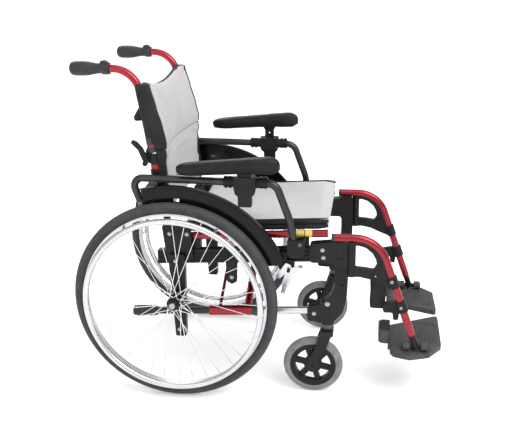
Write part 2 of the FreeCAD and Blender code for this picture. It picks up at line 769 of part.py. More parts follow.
def build_wheel():
    """Tyre, rim, handrim, spokes and hub of one drive wheel."""
    x = cell("wheel_x")
    height = cell("wheel_radius")
    centre = (x, AXLE_Y, height)
    inner = cell("rim_inner")
    outer = cell("rim_outer")
    half = cell("rim_width") / 2
    tyre = torus("tyre", centre, "Sizes.wheel_radius - Sizes.tyre_radius", "Sizes.tyre_radius")
    ring_profile = [
        (-half + 4, inner), (half - 4, inner), (half, inner + 7), (half, outer), (-half, outer),
        (-half, inner + 7),
    ]
    ring = turned("rim_ring", ring_profile, centre, X_AXIS)
    pair("tyre", tyre)
    pair("rim", cut("rim", ring, tyre))

    hoop_x = cell("handrim_x")
    hoop = torus("handrim_hoop", (hoop_x, AXLE_Y, height), "Sizes.handrim_radius", "Sizes.handrim_tube")
    stays = []
    root = inner + 4
    tip = cell("handrim_radius") + 2
    for index in range(6):
        turn = math.radians(60 * index + 30)
        base = Vector(x + half - 2.5, AXLE_Y + root * math.sin(turn), height + root * math.cos(turn))
        end = Vector(hoop_x - 5, AXLE_Y + tip * math.sin(turn), height + tip * math.cos(turn))
        stays.append(rod(f"handrim_stay_{index}", 4, base, end))
    pair("handrim", cut("handrim", fuse("handrim_all", [hoop] + stays), ring))

    count = 36
    spokes = []
    reach = cell("flange_radius") - 3
    for index in range(count):
        flange_x = 17 if index % 2 else -17
        lead = 62 if (index // 2) % 2 else -62
        at_rim = math.radians(index * 360 / count)
        at_hub = at_rim + math.radians(lead)
        start = Vector(x + flange_x, AXLE_Y + reach * math.sin(at_hub), height + reach * math.cos(at_hub))
        end = Vector(x + flange_x * 0.2, AXLE_Y + (inner + 1) * math.sin(at_rim),
                     height + (inner + 1) * math.cos(at_rim))
        spokes.append(rod(f"spoke_{index}", "Sizes.spoke_radius", start, end))
    pair("spokes", group("spokes", spokes))

    body = cell("hub_radius")
    flange = cell("flange_radius")
    pin = cell("axle_radius")
    hub_profile = [
        (-44, 0), (-44, pin), (-29.5, pin), (-29.5, body - 2), (-20, body - 2), (-19, flange), (-15, flange),
        (-14, body - 1), (14, body - 1), (15, flange), (19, flange), (20, body), (30, body - 1),
        (33, body - 4), (36, body - 6), (36, 0),
    ]
    pair("wheel_hub", turned("wheel_hub", hub_profile, centre, X_AXIS))


# ---------------------------------------------------------------- casters

def build_caster():
    """Caster fork with its stem, and the windowed wheel with a solid tyre."""
    x = cell("caster_x")
    stem_y = cell("stem_y")
    axle_y = stem_y + cell("caster_trail")
    radius = cell("caster_radius")
    stem = rod("caster_stem", "Sizes.stem_radius", (x, stem_y, 200), (x, stem_y, 285))
    collar = rod("caster_collar", 16, (x, stem_y, 204), (x, stem_y, 226))
    crown_outline = [(-223, 208), (-223, 195), (-212, 189), (-186, 189), (-184, 208)]
    crown = plate("fork_crown", crown_outline, 50, x - 25, rounding=3)
    leg_outline = [
        (-223, 208), (-187, 208), (-180, 188), (-168, 150), (axle_y + 14, 104), (axle_y + 13, radius - 12),
        (axle_y - 12, radius - 12), (-184, 119), (-205, 160), (-218, 196),
    ]
    legs = []
    for index, offset in enumerate((-25, 20)):
        legs.append(plate(f"fork_leg_{index}", leg_outline, 5, x + offset, rounding=8))
    pin = rod("caster_axle", 5, (x - 29, axle_y, radius), (x + 29, axle_y, radius))
    pair("caster_fork", fuse("caster_fork", [stem, collar, crown, pin] + legs))

    centre = Vector(x, axle_y, radius)
    half = 10
    outer = radius - 2 * cell("caster_tyre") + 5
    rim_profile = [(-half, outer - 13), (half, outer - 13), (half, outer), (-half, outer)]
    rim = turned("caster_rim", rim_profile, centre, X_AXIS)
    boss_profile = [
        (-17, 5.05), (17, 5.05), (17, 13), (8, 15), (7, 27), (-7, 27), (-8, 15), (-17, 13),
    ]
    boss = turned("caster_boss", boss_profile, centre, X_AXIS)
    arms = []
    for index in range(6):
        arm = block(f"caster_arm_{index}", (-6, -8, 20), (12, 16, outer - 25))
        arm.Placement = Placement(centre, Rotation(X_AXIS, index * 60 - 17)) * arm.Placement
        arms.append(arm)
    tyre = torus("caster_tyre", centre, "Sizes.caster_radius - Sizes.caster_tyre", "Sizes.caster_tyre")
    hub = cut("caster_hub", fuse("caster_hub_body", [rim, boss] + arms), tyre)
    pair("caster_wheel", group("caster_wheel", [hub, tyre]))


# ---------------------------------------------------------------- footrests

TOP_BAR_Z = 501.5
HANGER_REAR = -214
SLANT_CORNER = Vector(229, -347, 501.5)
SLANT = Vector(0, -0.332, -0.943)
PLATE_AXIS_Z = 172


def slant_point(z):
    """Point on the slanted part of the hanger tube at height z."""
    return SLANT_CORNER + SLANT * ((SLANT_CORNER.z - z) / -SLANT.z)


def build_hanger():
    """Bent hanger tube, its looped casting and lower clamp, the inner footrest tube and its hinge pin."""
    x = cell("hanger_x")
    path = [Vector(x, HANGER_REAR, TOP_BAR_Z), SLANT_CORNER, slant_point(208)]
    tube = bent_tube("hanger_sweep", path, [95], "Sizes.hanger_radius")
    bore = rod("hanger_bore", "Sizes.inner_tube_radius", slant_point(270), slant_point(200))
    pair("hanger_tube", cut("hanger_tube", tube, bore))

    loop_outline = [
        (-263, 492), (-263, 386), (-294, 387), (-324, 381), (-362, 364), (-389, 354), (-400, 372),
        (-388, 402), (-352, 470), (-318, 496),
    ]
    window = [
        (-280, 482), (-280, 415), (-308, 413), (-335, 409), (-344, 424), (-341, 442), (-331, 460),
        (-312, 476), (-292, 482),
    ]
    loop = plate("hanger_loop", loop_outline, 17, x - 8.5, rounding=7, windows=[window])
    room_foot = LUG_FOOT - 0.4
    room_top = LUG_TOP + 0.4
    eye_low = rod("hanger_eye_low", 12, (x, HANGER_AXIS_Y, 386), (x, HANGER_AXIS_Y, room_foot))
    eye_top = rod("hanger_eye_top", 12, (x, HANGER_AXIS_Y, room_top), (x, HANGER_AXIS_Y, 492))
    pin = rod("hanger_pin", "Sizes.axle_radius", (x, HANGER_AXIS_Y, 400), (x, HANGER_AXIS_Y, 488))
    lug_room = rod("hanger_lug_room", 14, (x, HANGER_AXIS_Y, room_foot), (x, HANGER_AXIS_Y, room_top))
    collar = rod("hanger_collar", 14.5, slant_point(389), slant_point(356))
    loop_cut = cut("hanger_loop_cut", loop, lug_room)
    upper = fuse("hanger_upper", [loop_cut, eye_low, eye_top, pin, collar])
    clamp = rod("hanger_clamp", 15.5, slant_point(314), slant_point(282))
    ear_outline = [
        (-404, 314), (-370, 308), (-364, 292), (-368, 278), (-393, 278), (-396, 256), (-410, 256),
        (-414, 290),
    ]
    clamp_ear = plate("clamp_ear", ear_outline, 12, x - 6, rounding=5)
    lower = fuse("hanger_lower", [clamp, clamp_ear])
    pair("hanger_casting", cut("hanger_casting", group("hanger_black", [upper, lower]), tube))

    foot = slant_point(PLATE_AXIS_Z)
    inner = rod("footrest_bar", "Sizes.inner_tube_radius", slant_point(270), slant_point(PLATE_AXIS_Z - 4))
    hinge = rod("footrest_pin", 7, (x, foot.y - 38, PLATE_AXIS_Z), (x, foot.y + 38, PLATE_AXIS_Z))
    pair("footrest_tube", fuse("footrest_tube", [inner, hinge]))


PLATE_OUTLINE = [
    (92, -390), (21, -534), (29, -541), (194, -541), (246, -502), (264, -446), (250, -400), (232, -390),
]


def build_footplate():
    """Six-sided footplate with knuckles on the hinge pin, toe grooves and a heel loop."""
    x = cell("hanger_x")
    pin_y = slant_point(PLATE_AXIS_Z).y
    top = PLATE_AXIS_Z - 12
    sheet_part = plate("plate_board", PLATE_OUTLINE, "Sizes.plate_thick", top - cell("plate_thick"),
                       rounding=9, role="XY_Plane")
    grooves = []
    for index in range(10):
        y = -526 + index * 8
        grooves.append(block(f"plate_groove_{index}", (66, y, top - 1.5), (124, 3, 6)))
    tilt = group("plate_tilted", [cut("plate_cut", sheet_part, fuse("plate_grooves", grooves))])
    pivot = Vector(x, 0, PLATE_AXIS_Z)
    lean = Rotation(Y_AXIS, cell("plate_tilt"))
    tilt.Placement = Placement(pivot - lean.multVec(pivot), lean)
    knuckles = []
    for index, y in enumerate((pin_y - 36, pin_y + 16)):
        knuckles.append(rod(f"plate_knuckle_{index}", 14, (x, y, PLATE_AXIS_Z), (x, y + 20, PLATE_AXIS_Z)))
    solid = fuse("plate_solid", [tilt] + knuckles)
    bore = rod("plate_bore", 7.05, (x, pin_y - 60, PLATE_AXIS_Z), (x, pin_y + 60, PLATE_AXIS_Z))
    tube_room = rod("plate_tube_room", 15, slant_point(PLATE_AXIS_Z + 30), slant_point(PLATE_AXIS_Z - 14))
    body = cut("plate_body", solid, fuse("plate_rooms", [bore, tube_room]))
    rear = PLATE_OUTLINE[0][1]
    low = PLATE_AXIS_Z - 5
    band_outline = [(132, rear - 6), (132, -356), (212, -356), (212, rear - 6)]
    band = plate("heel_band", band_outline, 40, low, rounding=16, role="XY_Plane")
    inside_outline = [(136, rear - 20), (136, -360), (208, -360), (208, rear - 20)]
    inside = plate("heel_room", inside_outline, 60, low - 1, rounding=13, role="XY_Plane")
    board_room = block("heel_trim", (120, rear - 20, low - 1), (100, 14, 60))
    loop = cut("heel_loop", band, fuse("heel_rooms", [inside, board_room]))
    lace = block("heel_root", (130, rear - 8, top - 12), (84, 14, 20))
    lace_mid = block("heel_gap", (138, rear - 20, top - 20), (68, 40, 60))
    roots = cut("heel_roots", lace, lace_mid)
    pair("footplate", fuse("footplate", [body, loop, roots]))


# ---------------------------------------------------------------- brakes

BRAKE_PIVOT = (-92, 402)


def build_brake():
    """Push-to-lock brake: clamp under the rail, and a two-armed lever with its shoe and knob."""
    clamp_x = cell("top_rail_x") + cell("top_rail_width") / 2
    clamp_outline = [
        (-108, 430), (-108, 394), (-97, 388), (-74, 390), (-62, 406), (-62, 456), (-86, 456), (-86, 430),
    ]
    mount = fuse("brake_mount_all", [
        plate("brake_clamp", clamp_outline, 9, clamp_x, rounding=5),
        block("brake_jaw", (clamp_x - 30, -106, 402), (34, 42, 8)),
        rod("brake_pin", 5, (clamp_x + 4, *BRAKE_PIVOT), (clamp_x + 24, *BRAKE_PIVOT)),
    ])
    pair("brake_mount", mount)
    x = clamp_x + 10
    arm_outline = [(-104, 404), (-97, 418), (-84, 424), (-55, 381), (-63, 371), (-86, 394)]
    handle_outline = [
        (-135, 416), (-131, 403), (-107, 391), (-96, 358), (-88, 342), (-72, 342), (-72, 358),
        (-84, 396), (-112, 415),
    ]
    shapes = [
        plate("brake_arm", arm_outline, 5, x, rounding=5),
        plate("brake_handle", handle_outline, 5, x, rounding=6),
        rod("brake_shoe", 6.5, (x, -80, 349), (300, -80, 349)),
        rod("brake_knob", 7, (x - 5, -126, 408), (x + 14, -126, 408)),
    ]
    bore = rod("brake_bore", 5.05, (x - 5, *BRAKE_PIVOT), (x + 12, *BRAKE_PIVOT))
    pair("brake_lever", cut("brake_lever", fuse("brake_lever_body", shapes), bore))


# ---------------------------------------------------------------- cross brace

def brace_point(x, y, share):
    """Point between the lower rail (share 0) and the seat tube (share 1) at a depth."""
    return Vector(x, y, low_rail_z(y) + cell("seat_tube_rise") * share)


def build_brace(side, thick_y, rod_y):
    """Sleeve on the lower rail, two cross members, the opposite side's seat tube, and the sleeve's bore."""
    name = "left" if side > 0 else "right"
    rail_x = side * cell("low_rail_x")
    seat_x = -side * cell("seat_tube_x")
    front = thick_y - 33
    rear = rod_y + 29
    sleeve_front = brace_point(rail_x, front, 0)
    tube_rise = (brace_point(rail_x, thick_y, 0), brace_point(seat_x, thick_y, 1))
    stay_rise = (brace_point(rail_x, rod_y, 0), brace_point(seat_x, rod_y, 1))
    seat_run = (brace_point(seat_x, SEAT_TUBE_FRONT, 1), brace_point(seat_x, SEAT_TUBE_REAR, 1))
    body = fuse(f"brace_all_{name}", [
        rod(f"sleeve_{name}", "Sizes.sleeve_radius", sleeve_front, brace_point(rail_x, rear, 0)),
        rod(f"bush_{name}", 17, sleeve_front, brace_point(rail_x, front + 12, 0)),
        rod(f"brace_tube_{name}", TUBE, *tube_rise),
        rod(f"brace_rod_{name}", "Sizes.brace_rod_radius", *stay_rise),
        rod(f"seat_tube_{name}", TUBE, *seat_run),
    ])
    bore = rod(f"brace_bore_{name}", "Sizes.tube_radius + Sizes.running_gap",
               brace_point(rail_x, front - 20, 0), brace_point(rail_x, rear + 20, 0))
    return body, bore


THICK_RIGHT = 35
THICK_LEFT = 9
ROD_RIGHT = 120
ROD_LEFT = 106


def build_cross_braces():
    """Both braces, joined by the centre bolt, which is fixed in the right one."""
    share = cell("low_rail_x") / (cell("low_rail_x") + cell("seat_tube_x"))
    bolt_front = brace_point(0, THICK_LEFT - 16, share)
    bolt_rear = brace_point(0, THICK_RIGHT + 16, share)
    right, right_bore = build_brace(-1, THICK_RIGHT, ROD_RIGHT)
    bolt = rod("centre_bolt", 4, bolt_front, bolt_rear)
    keep("cross_brace_right", fuse("cross_brace_right", [cut("brace_right_cut", right, right_bore), bolt]))
    left, left_bore = build_brace(1, THICK_LEFT, ROD_LEFT)
    bolt_bore = rod("centre_bore", 4.05, bolt_front, bolt_rear)
    keep("cross_brace_left", cut("cross_brace_left", left, fuse("brace_left_bores", [left_bore, bolt_bore])))


# ---------------------------------------------------------------- upholstery

SEAT_FRONT = -208
SEAT_REAR = 222


def build_seat():
    """Seat cushion on the seat tubes, with a padded band down each side."""
    half = cell("seat_half")
    under = cell("tube_radius") + 0.4
    tall = cell("seat_thick") + under
    front_z = seat_tube_z(SEAT_FRONT)
    rear_z = seat_tube_z(SEAT_REAR)
    outline = [
        (SEAT_FRONT, front_z + under), (SEAT_REAR, rear_z + under), (SEAT_REAR, rear_z + tall),
        (SEAT_FRONT, front_z + tall),
    ]
    shapes = [plate("seat_slab", outline, 2 * half, -half, rounding=8)]
    band_end = 6
    band_drop = 6
    band_outline = [
        (SEAT_FRONT + band_end, front_z + under),
        (SEAT_REAR - band_end, rear_z + under),
        (SEAT_REAR - band_end, rear_z + tall - band_drop),
        (SEAT_FRONT + band_end, front_z + tall - band_drop),
    ]
    band_thick = 3.2
    for index, x in enumerate((-half - band_thick, half)):
        shapes.append(plate(f"seat_band_{index}", band_outline, band_thick, x, rounding=4))
    keep("seat_sling", fuse("seat_sling", shapes))


def build_back():
    """Back upholstery above and below the fold, stretched between the posts."""
    half = 193
    ahead = cell("back_thick")
    fold_z = 748
    parts = {"back_lower": (560, fold_z - 3), "back_upper": (fold_z + 3, 928)}
    for name, (low, high) in parts.items():
        low_y = cane_point(low).y
        high_y = cane_point(high).y
        outline = [(low_y - ahead, low), (high_y - ahead, high), (high_y, high), (low_y, low)]
        keep(name, plate(name, outline, 2 * half, -half, rounding=8))


def build_calf_strap():
    """Calf strap hanging doubled from the right hanger tube only."""
    x = -cell("hanger_x")
    outline = [(-326, 384), (-328, 288), (-338, 279), (-366, 279), (-374, 288), (-372, 384)]
    keep("calf_strap", plate("calf_strap", outline, 8.6, x + 9.4, rounding=4))


build_upper_rail()
build_lower_rail()
build_rear_bracket()
build_front_casting()
build_frame_bolts()
build_fender()
build_upper_cane()
build_push_grip()
build_back_latch()
build_arm_tube()
build_arm_holder()
build_arm_pad(1, 25)
build_arm_pad(-1, 0)
build_arm_socket()
build_arm_latch()
build_wheel()
build_caster()
build_hanger()
build_footplate()
build_brake()
build_cross_braces()
build_seat()
build_back()
build_calf_strap()
doc.recompute()

for thing in doc.Objects:
    if "Invalid" in thing.State or "Error" in thing.State:
        raise RuntimeError(f"{thing.Label} did not recompute: {thing.State}")
for piece in pieces:
    if piece.Shape.isNull() or not piece.Shape.isValid():
        raise RuntimeError(f"{piece.Label} has no valid shape")
    if not piece.Shape.Solids:
        raise RuntimeError(f"{piece.Label} has no solid")

os.makedirs("parts", exist_ok=True)
for piece in pieces:
    piece.Shape.exportStep(f"parts/{piece.Label}.step")
print(len(pieces), "sub-parts written")
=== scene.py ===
"""Folding manual wheelchair: looks, upholstery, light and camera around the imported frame."""

import json
import math

import bmesh
import bpy
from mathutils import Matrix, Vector, noise

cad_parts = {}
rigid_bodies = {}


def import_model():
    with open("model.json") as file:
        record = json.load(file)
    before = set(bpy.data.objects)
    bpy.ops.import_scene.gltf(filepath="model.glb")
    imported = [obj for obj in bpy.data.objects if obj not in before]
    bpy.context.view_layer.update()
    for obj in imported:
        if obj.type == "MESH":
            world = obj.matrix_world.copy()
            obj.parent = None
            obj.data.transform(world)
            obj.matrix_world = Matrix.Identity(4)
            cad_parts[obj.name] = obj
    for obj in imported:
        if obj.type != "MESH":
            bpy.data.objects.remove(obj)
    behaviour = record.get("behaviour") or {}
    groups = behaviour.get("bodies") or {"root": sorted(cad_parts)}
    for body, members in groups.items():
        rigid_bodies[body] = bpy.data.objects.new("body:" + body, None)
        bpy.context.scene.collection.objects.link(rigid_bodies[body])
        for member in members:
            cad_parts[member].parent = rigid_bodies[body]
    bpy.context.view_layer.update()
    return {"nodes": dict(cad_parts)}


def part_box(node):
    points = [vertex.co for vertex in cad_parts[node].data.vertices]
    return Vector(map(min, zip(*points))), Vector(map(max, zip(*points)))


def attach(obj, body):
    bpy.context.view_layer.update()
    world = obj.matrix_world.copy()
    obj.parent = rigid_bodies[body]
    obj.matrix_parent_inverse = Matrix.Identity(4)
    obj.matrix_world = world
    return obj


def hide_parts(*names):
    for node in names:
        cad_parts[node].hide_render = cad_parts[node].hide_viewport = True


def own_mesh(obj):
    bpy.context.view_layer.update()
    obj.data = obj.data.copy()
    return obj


for leftover in list(bpy.data.objects):
    bpy.data.objects.remove(leftover)

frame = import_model()
NODES = frame["nodes"]
SIDES = (("right", -1.0), ("left", 1.0))

# layout of the chair, in metres
SLOPE = math.tan(math.radians(3))
RECLINE = math.tan(math.radians(9))
CANE_X = 0.213
SEAT_TUBE_RISE = 0.237
AXLE = (0.240, 0.305)
AXLE_X = 0.286
CASTER_AXLE = (-0.163, 0.0896)
CASTER_TYRE_INNER = 0.0695


def seat_tube_z(y):
    """Height of the seat tube's centre line."""
    return 0.248 - SLOPE * (y - 0.240) + SEAT_TUBE_RISE


def cane_y(z):
    """Depth of the back post's centre line."""
    return 0.294 + (z - 0.696) * RECLINE


def lerp_table(table, key):
    """Smooth value at key from (key, value) pairs in rising order."""
    if key <= table[0][0]:
        return table[0][1]
    for (k0, v0), (k1, v1) in zip(table, table[1:]):
        if key <= k1:
            t = (key - k0) / (k1 - k0)
            t = t * t * (3 - 2 * t)
            return v0 + (v1 - v0) * t
    return table[-1][1]


# ---------------------------------------------------------------- materials

class Look:
    """A Principled material with helpers that layer procedural detail on it."""

    def __init__(self, name, colour, rough, metal=0.0, **sockets):
        self.material = bpy.data.materials.new(name)
        self.material.use_nodes = True
        self.tree = self.material.node_tree
        self.bsdf = self.tree.nodes["Principled BSDF"]
        self.colour = (*colour, 1.0)
        self.bsdf.inputs["Base Color"].default_value = self.colour
        self.bsdf.inputs["Roughness"].default_value = rough
        self.bsdf.inputs["Metallic"].default_value = metal
        for key, value in sockets.items():
            self.bsdf.inputs[key.replace("_", " ")].default_value = value
        self.coords = self.tree.nodes.new("ShaderNodeTexCoord").outputs["Object"]
        self.normal = None
        self.material.diffuse_color = self.colour

    def put(self, socket, value):
        if isinstance(value, bpy.types.NodeSocket):
            self.tree.links.new(value, socket)
        else:
            socket.default_value = value

    def math(self, operation, a, b=0.0):
        node = self.tree.nodes.new("ShaderNodeMath")
        node.operation = operation
        self.put(node.inputs[0], a)
        self.put(node.inputs[1], b)
        return node.outputs[0]

    def ramp(self, value, start, end, low=0.0, high=1.0):
        """Maps value from start..end to low..high, clamped."""
        node = self.tree.nodes.new("ShaderNodeMapRange")
        for key, item in (("Value", value), ("From Min", start), ("From Max", end), ("To Min", low),
                          ("To Max", high)):
            self.put(node.inputs[key], item)
        return node.outputs["Result"]

    def mix(self, factor, a, b):
        node = self.tree.nodes.new("ShaderNodeMix")
        node.data_type = "RGBA"
        self.put(node.inputs[0], factor)
        for socket, value in ((node.inputs[6], a), (node.inputs[7], b)):
            if not isinstance(value, bpy.types.NodeSocket) and len(value) == 3:
                value = (*value, 1.0)
            self.put(socket, value)
        return node.outputs[2]

    def noise(self, scale, detail=3.0, stretch=None):
        node = self.tree.nodes.new("ShaderNodeTexNoise")
        vector = self.coords
        if stretch:
            mapping = self.tree.nodes.new("ShaderNodeMapping")
            self.put(mapping.inputs["Vector"], vector)
            mapping.inputs["Scale"].default_value = stretch
            vector = mapping.outputs["Vector"]
        self.put(node.inputs["Vector"], vector)
        node.inputs["Scale"].default_value = scale
        node.inputs["Detail"].default_value = detail
        return node.outputs["Fac"]

    def cells(self, scale, randomness=1.0, smooth=False):
        node = self.tree.nodes.new("ShaderNodeTexVoronoi")
        node.feature = "SMOOTH_F1" if smooth else "F1"
        self.put(node.inputs["Vector"], self.coords)
        node.inputs["Scale"].default_value = scale
        node.inputs["Randomness"].default_value = randomness
        return node.outputs["Distance"]

    def axes(self):
        node = self.tree.nodes.new("ShaderNodeSeparateXYZ")
        self.put(node.inputs[0], self.coords)
        return node.outputs

    def bump(self, height, depth, strength=1.0):
        node = self.tree.nodes.new("ShaderNodeBump")
        self.put(node.inputs["Height"], height)
        node.inputs["Distance"].default_value = depth
        node.inputs["Strength"].default_value = strength
        if self.normal:
            self.put(node.inputs["Normal"], self.normal)
        self.normal = node.outputs["Normal"]
        self.put(self.bsdf.inputs["Normal"], self.normal)

    def base(self, value):
        self.put(self.bsdf.inputs["Base Color"], value)

    def rough(self, value):
        self.put(self.bsdf.inputs["Roughness"], value)

    def shades(self, amount):
        """Darker and lighter versions of the base colour."""
        dark = tuple(c * (1 - amount) for c in self.colour[:3])
        light = tuple(min(1.0, c * (1 + amount) + 0.01 * amount) for c in self.colour[:3])
        return dark, light

    def mottle(self, scale, amount, rough_low, rough_high):
        """Slow colour variation with a finer variation of the gloss."""
        dark, light = self.shades(amount)
        self.base(self.mix(self.ramp(self.noise(scale, 5), 0.3, 0.7), dark, light))
        self.rough(self.ramp(self.noise(scale * 7, 4), 0.3, 0.7, rough_low, rough_high))
        return self

    def band(self, axis, low, high, edge=0.0004):
        """1 between low and high along an axis, with a narrow soft edge."""
        value = self.axes()[axis]
        rise = self.ramp(value, low - edge, low + edge)
        fall = self.ramp(value, high - edge, high + edge, 1.0, 0.0)
        return self.math("MULTIPLY", rise, fall)


def powder_coat():
    look = Look("black_powder_coat", (0.0065, 0.0065, 0.0070), 0.42, Specular_IOR_Level=0.24)
    look.mottle(18, 0.25, 0.36, 0.5)
    look.bump(look.noise(900, 2), 0.00018, 0.35)
    return look


def red_metal(name="red_anodised_tube"):
    look = Look(name, (0.24, 0.006, 0.014), 0.3, 0.85, Coat_Weight=0.3, Coat_Roughness=0.12)
    flakes = look.ramp(look.cells(2600), 0.15, 0.6)
    slow = look.ramp(look.noise(22, 4), 0.3, 0.7)
    deep = look.mix(slow, (0.20, 0.0045, 0.010), (0.28, 0.008, 0.018))
    look.base(look.mix(look.math("MULTIPLY", flakes, 0.4), deep, (0.42, 0.05, 0.065)))
    look.rough(look.ramp(look.noise(160, 3), 0.3, 0.7, 0.24, 0.36))
    look.bump(look.noise(700, 2), 0.0001, 0.2)
    return look


def capped_red(name, axis, *bands):
    """Red tube that is black plastic inside each (low, high) band along an axis."""
    look = red_metal(name)
    red = look.bsdf.inputs["Base Color"].links[0].from_socket
    cap = 0.0
    for low, high in bands:
        cap = look.math("MAXIMUM", cap, look.band(axis, low, high, 0.0003))
    look.base(look.mix(cap, red, (0.008, 0.008, 0.009)))
    look.put(look.bsdf.inputs["Metallic"], look.ramp(cap, 0, 1, 0.85, 0.0))
    gloss = look.ramp(cap, 0, 1, 0.24, 0.40)
    look.rough(look.math("ADD", gloss, look.ramp(look.noise(160, 3), 0.3, 0.7, 0, 0.12)))
    return look


def brushed(name, colour, metal, rough_low, rough_high, stretch=(1, 1, 1)):
    look = Look(name, colour, rough_low, metal)
    dark, light = look.shades(0.1)
    streaks = look.noise(240, 4, stretch)
    look.base(look.mix(look.ramp(streaks, 0.3, 0.7), dark, light))
    look.rough(look.ramp(streaks, 0.25, 0.75, rough_low, rough_high))
    look.bump(streaks, 0.00008, 0.3)
    return look


def moulded(name="moulded_black_plastic", colour=(0.0075, 0.0075, 0.0082), low=0.42, high=0.56):
    look = Look(name, colour, low, Specular_IOR_Level=0.22)
    look.mottle(30, 0.2, low, high)
    look.bump(look.cells(1500, smooth=True), 0.0002, 0.35)
    return look


def glossy_guard():
    look = Look("gloss_black_guard", (0.0035, 0.0035, 0.0040), 0.16, Specular_IOR_Level=0.2)
    look.rough(look.ramp(look.noise(45, 6), 0.35, 0.75, 0.12, 0.28))
    scuffs = look.ramp(look.noise(260, 5, (1, 4, 1)), 0.66, 0.72)
    look.base(look.mix(scuffs, (0.0035, 0.0035, 0.0040), (0.014, 0.014, 0.015)))
    look.bump(look.noise(60, 2), 0.0006, 0.15)
    return look


def satin_arm():
    look = Look("dark_satin_arm", (0.040, 0.041, 0.044), 0.3, 0.7)
    look.mottle(40, 0.16, 0.26, 0.38)
    look.bump(look.noise(800, 2), 0.0001, 0.25)
    return look


def rubber_grip():
    look = Look("grip_rubber", (0.022, 0.022, 0.024), 0.5, Specular_IOR_Level=0.35)
    look.mottle(50, 0.22, 0.42, 0.60)
    look.bump(look.cells(900, smooth=True), 0.0003, 0.4)
    return look


def foam_skin():
    look = Look("foam_pad_skin", (0.0060, 0.0060, 0.0066), 0.50, Specular_IOR_Level=0.22)
    look.mottle(14, 0.3, 0.42, 0.58)
    look.bump(look.cells(620, smooth=True), 0.0006, 0.45)
    look.bump(look.noise(90, 3), 0.0012, 0.25)
    return look


def tyre_rubber():
    """Grey tyre: fine crosswise tread blocks on the crown and a plain side wall."""
    look = Look("tyre_rubber", (0.026, 0.027, 0.030), 0.62, Specular_IOR_Level=0.35)
    x, y, z = look.axes()
    dy = look.math("SUBTRACT", y, AXLE[0])
    dz = look.math("SUBTRACT", z, AXLE[1])
    angle = look.math("ARCTAN2", dz, dy)
    squares = look.math("ADD", look.math("MULTIPLY", dy, dy), look.math("MULTIPLY", dz, dz))
    radius = look.math("SQRT", squares)
    across = look.math("ABSOLUTE", look.math("SUBTRACT", look.math("ABSOLUTE", x), AXLE_X))
    slant = look.math("MULTIPLY", across, 1400)
    blocks = look.math("SINE", look.math("ADD", look.math("MULTIPLY", angle, 180), slant))
    rows = look.math("SINE", look.math("MULTIPLY", across, 1300))
    crown = look.ramp(radius, 0.2935, 0.297)
    raised = look.math("MAXIMUM", look.ramp(blocks, -0.4, 0.2), look.ramp(rows, 0.5, 0.9))
    tread = look.math("MULTIPLY", raised, crown)
    dust = look.ramp(look.noise(26, 6), 0.35, 0.75)
    worn = look.mix(dust, (0.026, 0.027, 0.030), (0.046, 0.047, 0.051))
    look.base(look.mix(look.math("MULTIPLY", tread, 0.5), worn, (0.070, 0.071, 0.076)))
    look.rough(look.ramp(look.noise(150, 3), 0.3, 0.7, 0.52, 0.72))
    look.bump(tread, 0.0011, 0.8)
    rings = look.math("SINE", look.math("MULTIPLY", radius, 2600))
    look.bump(look.math("MULTIPLY", rings, look.ramp(radius, 0.2925, 0.2935, 1.0, 0.0)), 0.0002, 0.4)
    return look


def caster_rubber():
    look = Look("caster_tyre_rubber", (0.165, 0.166, 0.170), 0.6, Specular_IOR_Level=0.35)
    look.mottle(40, 0.18, 0.52, 0.7)
    look.bump(look.noise(500, 2), 0.0003, 0.3)
    return look


def spacer_mesh():
    """Light grey knitted mesh with small irregular open cells, darkened by painted shade in their hollows,
    and slow shading.
    """
    look = Look("light_grey_mesh", (0.45, 0.443, 0.438), 0.86, Sheen_Weight=0.12, Sheen_Roughness=0.5)
    open_cell = look.ramp(look.cells(620, 0.85), 0.10, 0.42)
    slow = look.ramp(look.noise(9, 5), 0.3, 0.7)
    yarn = look.mix(slow, (0.425, 0.418, 0.414), (0.480, 0.473, 0.468))
    # painted shade: the recessed open cells get a darker grey than the yarn around them
    look.base(look.mix(open_cell, (0.34, 0.335, 0.332), yarn))
    look.rough(look.ramp(open_cell, 0, 1, 0.95, 0.8))
    look.bump(open_cell, 0.0006, 0.6)
    look.bump(look.noise(32, 4), 0.0030, 0.22)
    return look


def woven_black(name="black_webbing", colour=(0.0080, 0.0080, 0.0088), pitch=4400):
    """Black woven fabric: a fine two-way weave with worn, slightly lighter yarns."""
    look = Look(name, colour, 0.7, Sheen_Weight=0.04, Sheen_Roughness=0.4, Specular_IOR_Level=0.3)
    x, y, z = look.axes()
    warp = look.math("SINE", look.math("MULTIPLY", look.math("ADD", x, y), pitch))
    leaning = look.math("ADD", z, look.math("MULTIPLY", y, 0.4))
    weft = look.math("SINE", look.math("MULTIPLY", leaning, pitch))
    weave = look.ramp(look.math("MULTIPLY", warp, weft), -1, 1)
    dark, light = look.shades(0.45)
    dust = look.ramp(look.noise(20, 5), 0.35, 0.75)
    look.base(look.mix(dust, look.mix(weave, dark, look.colour), light))
    look.rough(look.ramp(weave, 0, 1, 0.76, 0.6))
    look.bump(weave, 0.0005, 0.5)
    look.bump(look.noise(45, 4), 0.0022, 0.3)
    return look


def simple_gloss(name, colour, low, high):
    look = Look(name, colour, low)
    look.mottle(60, 0.1, low, high)
    look.bump(look.noise(400, 2), 0.0001, 0.2)
    return look


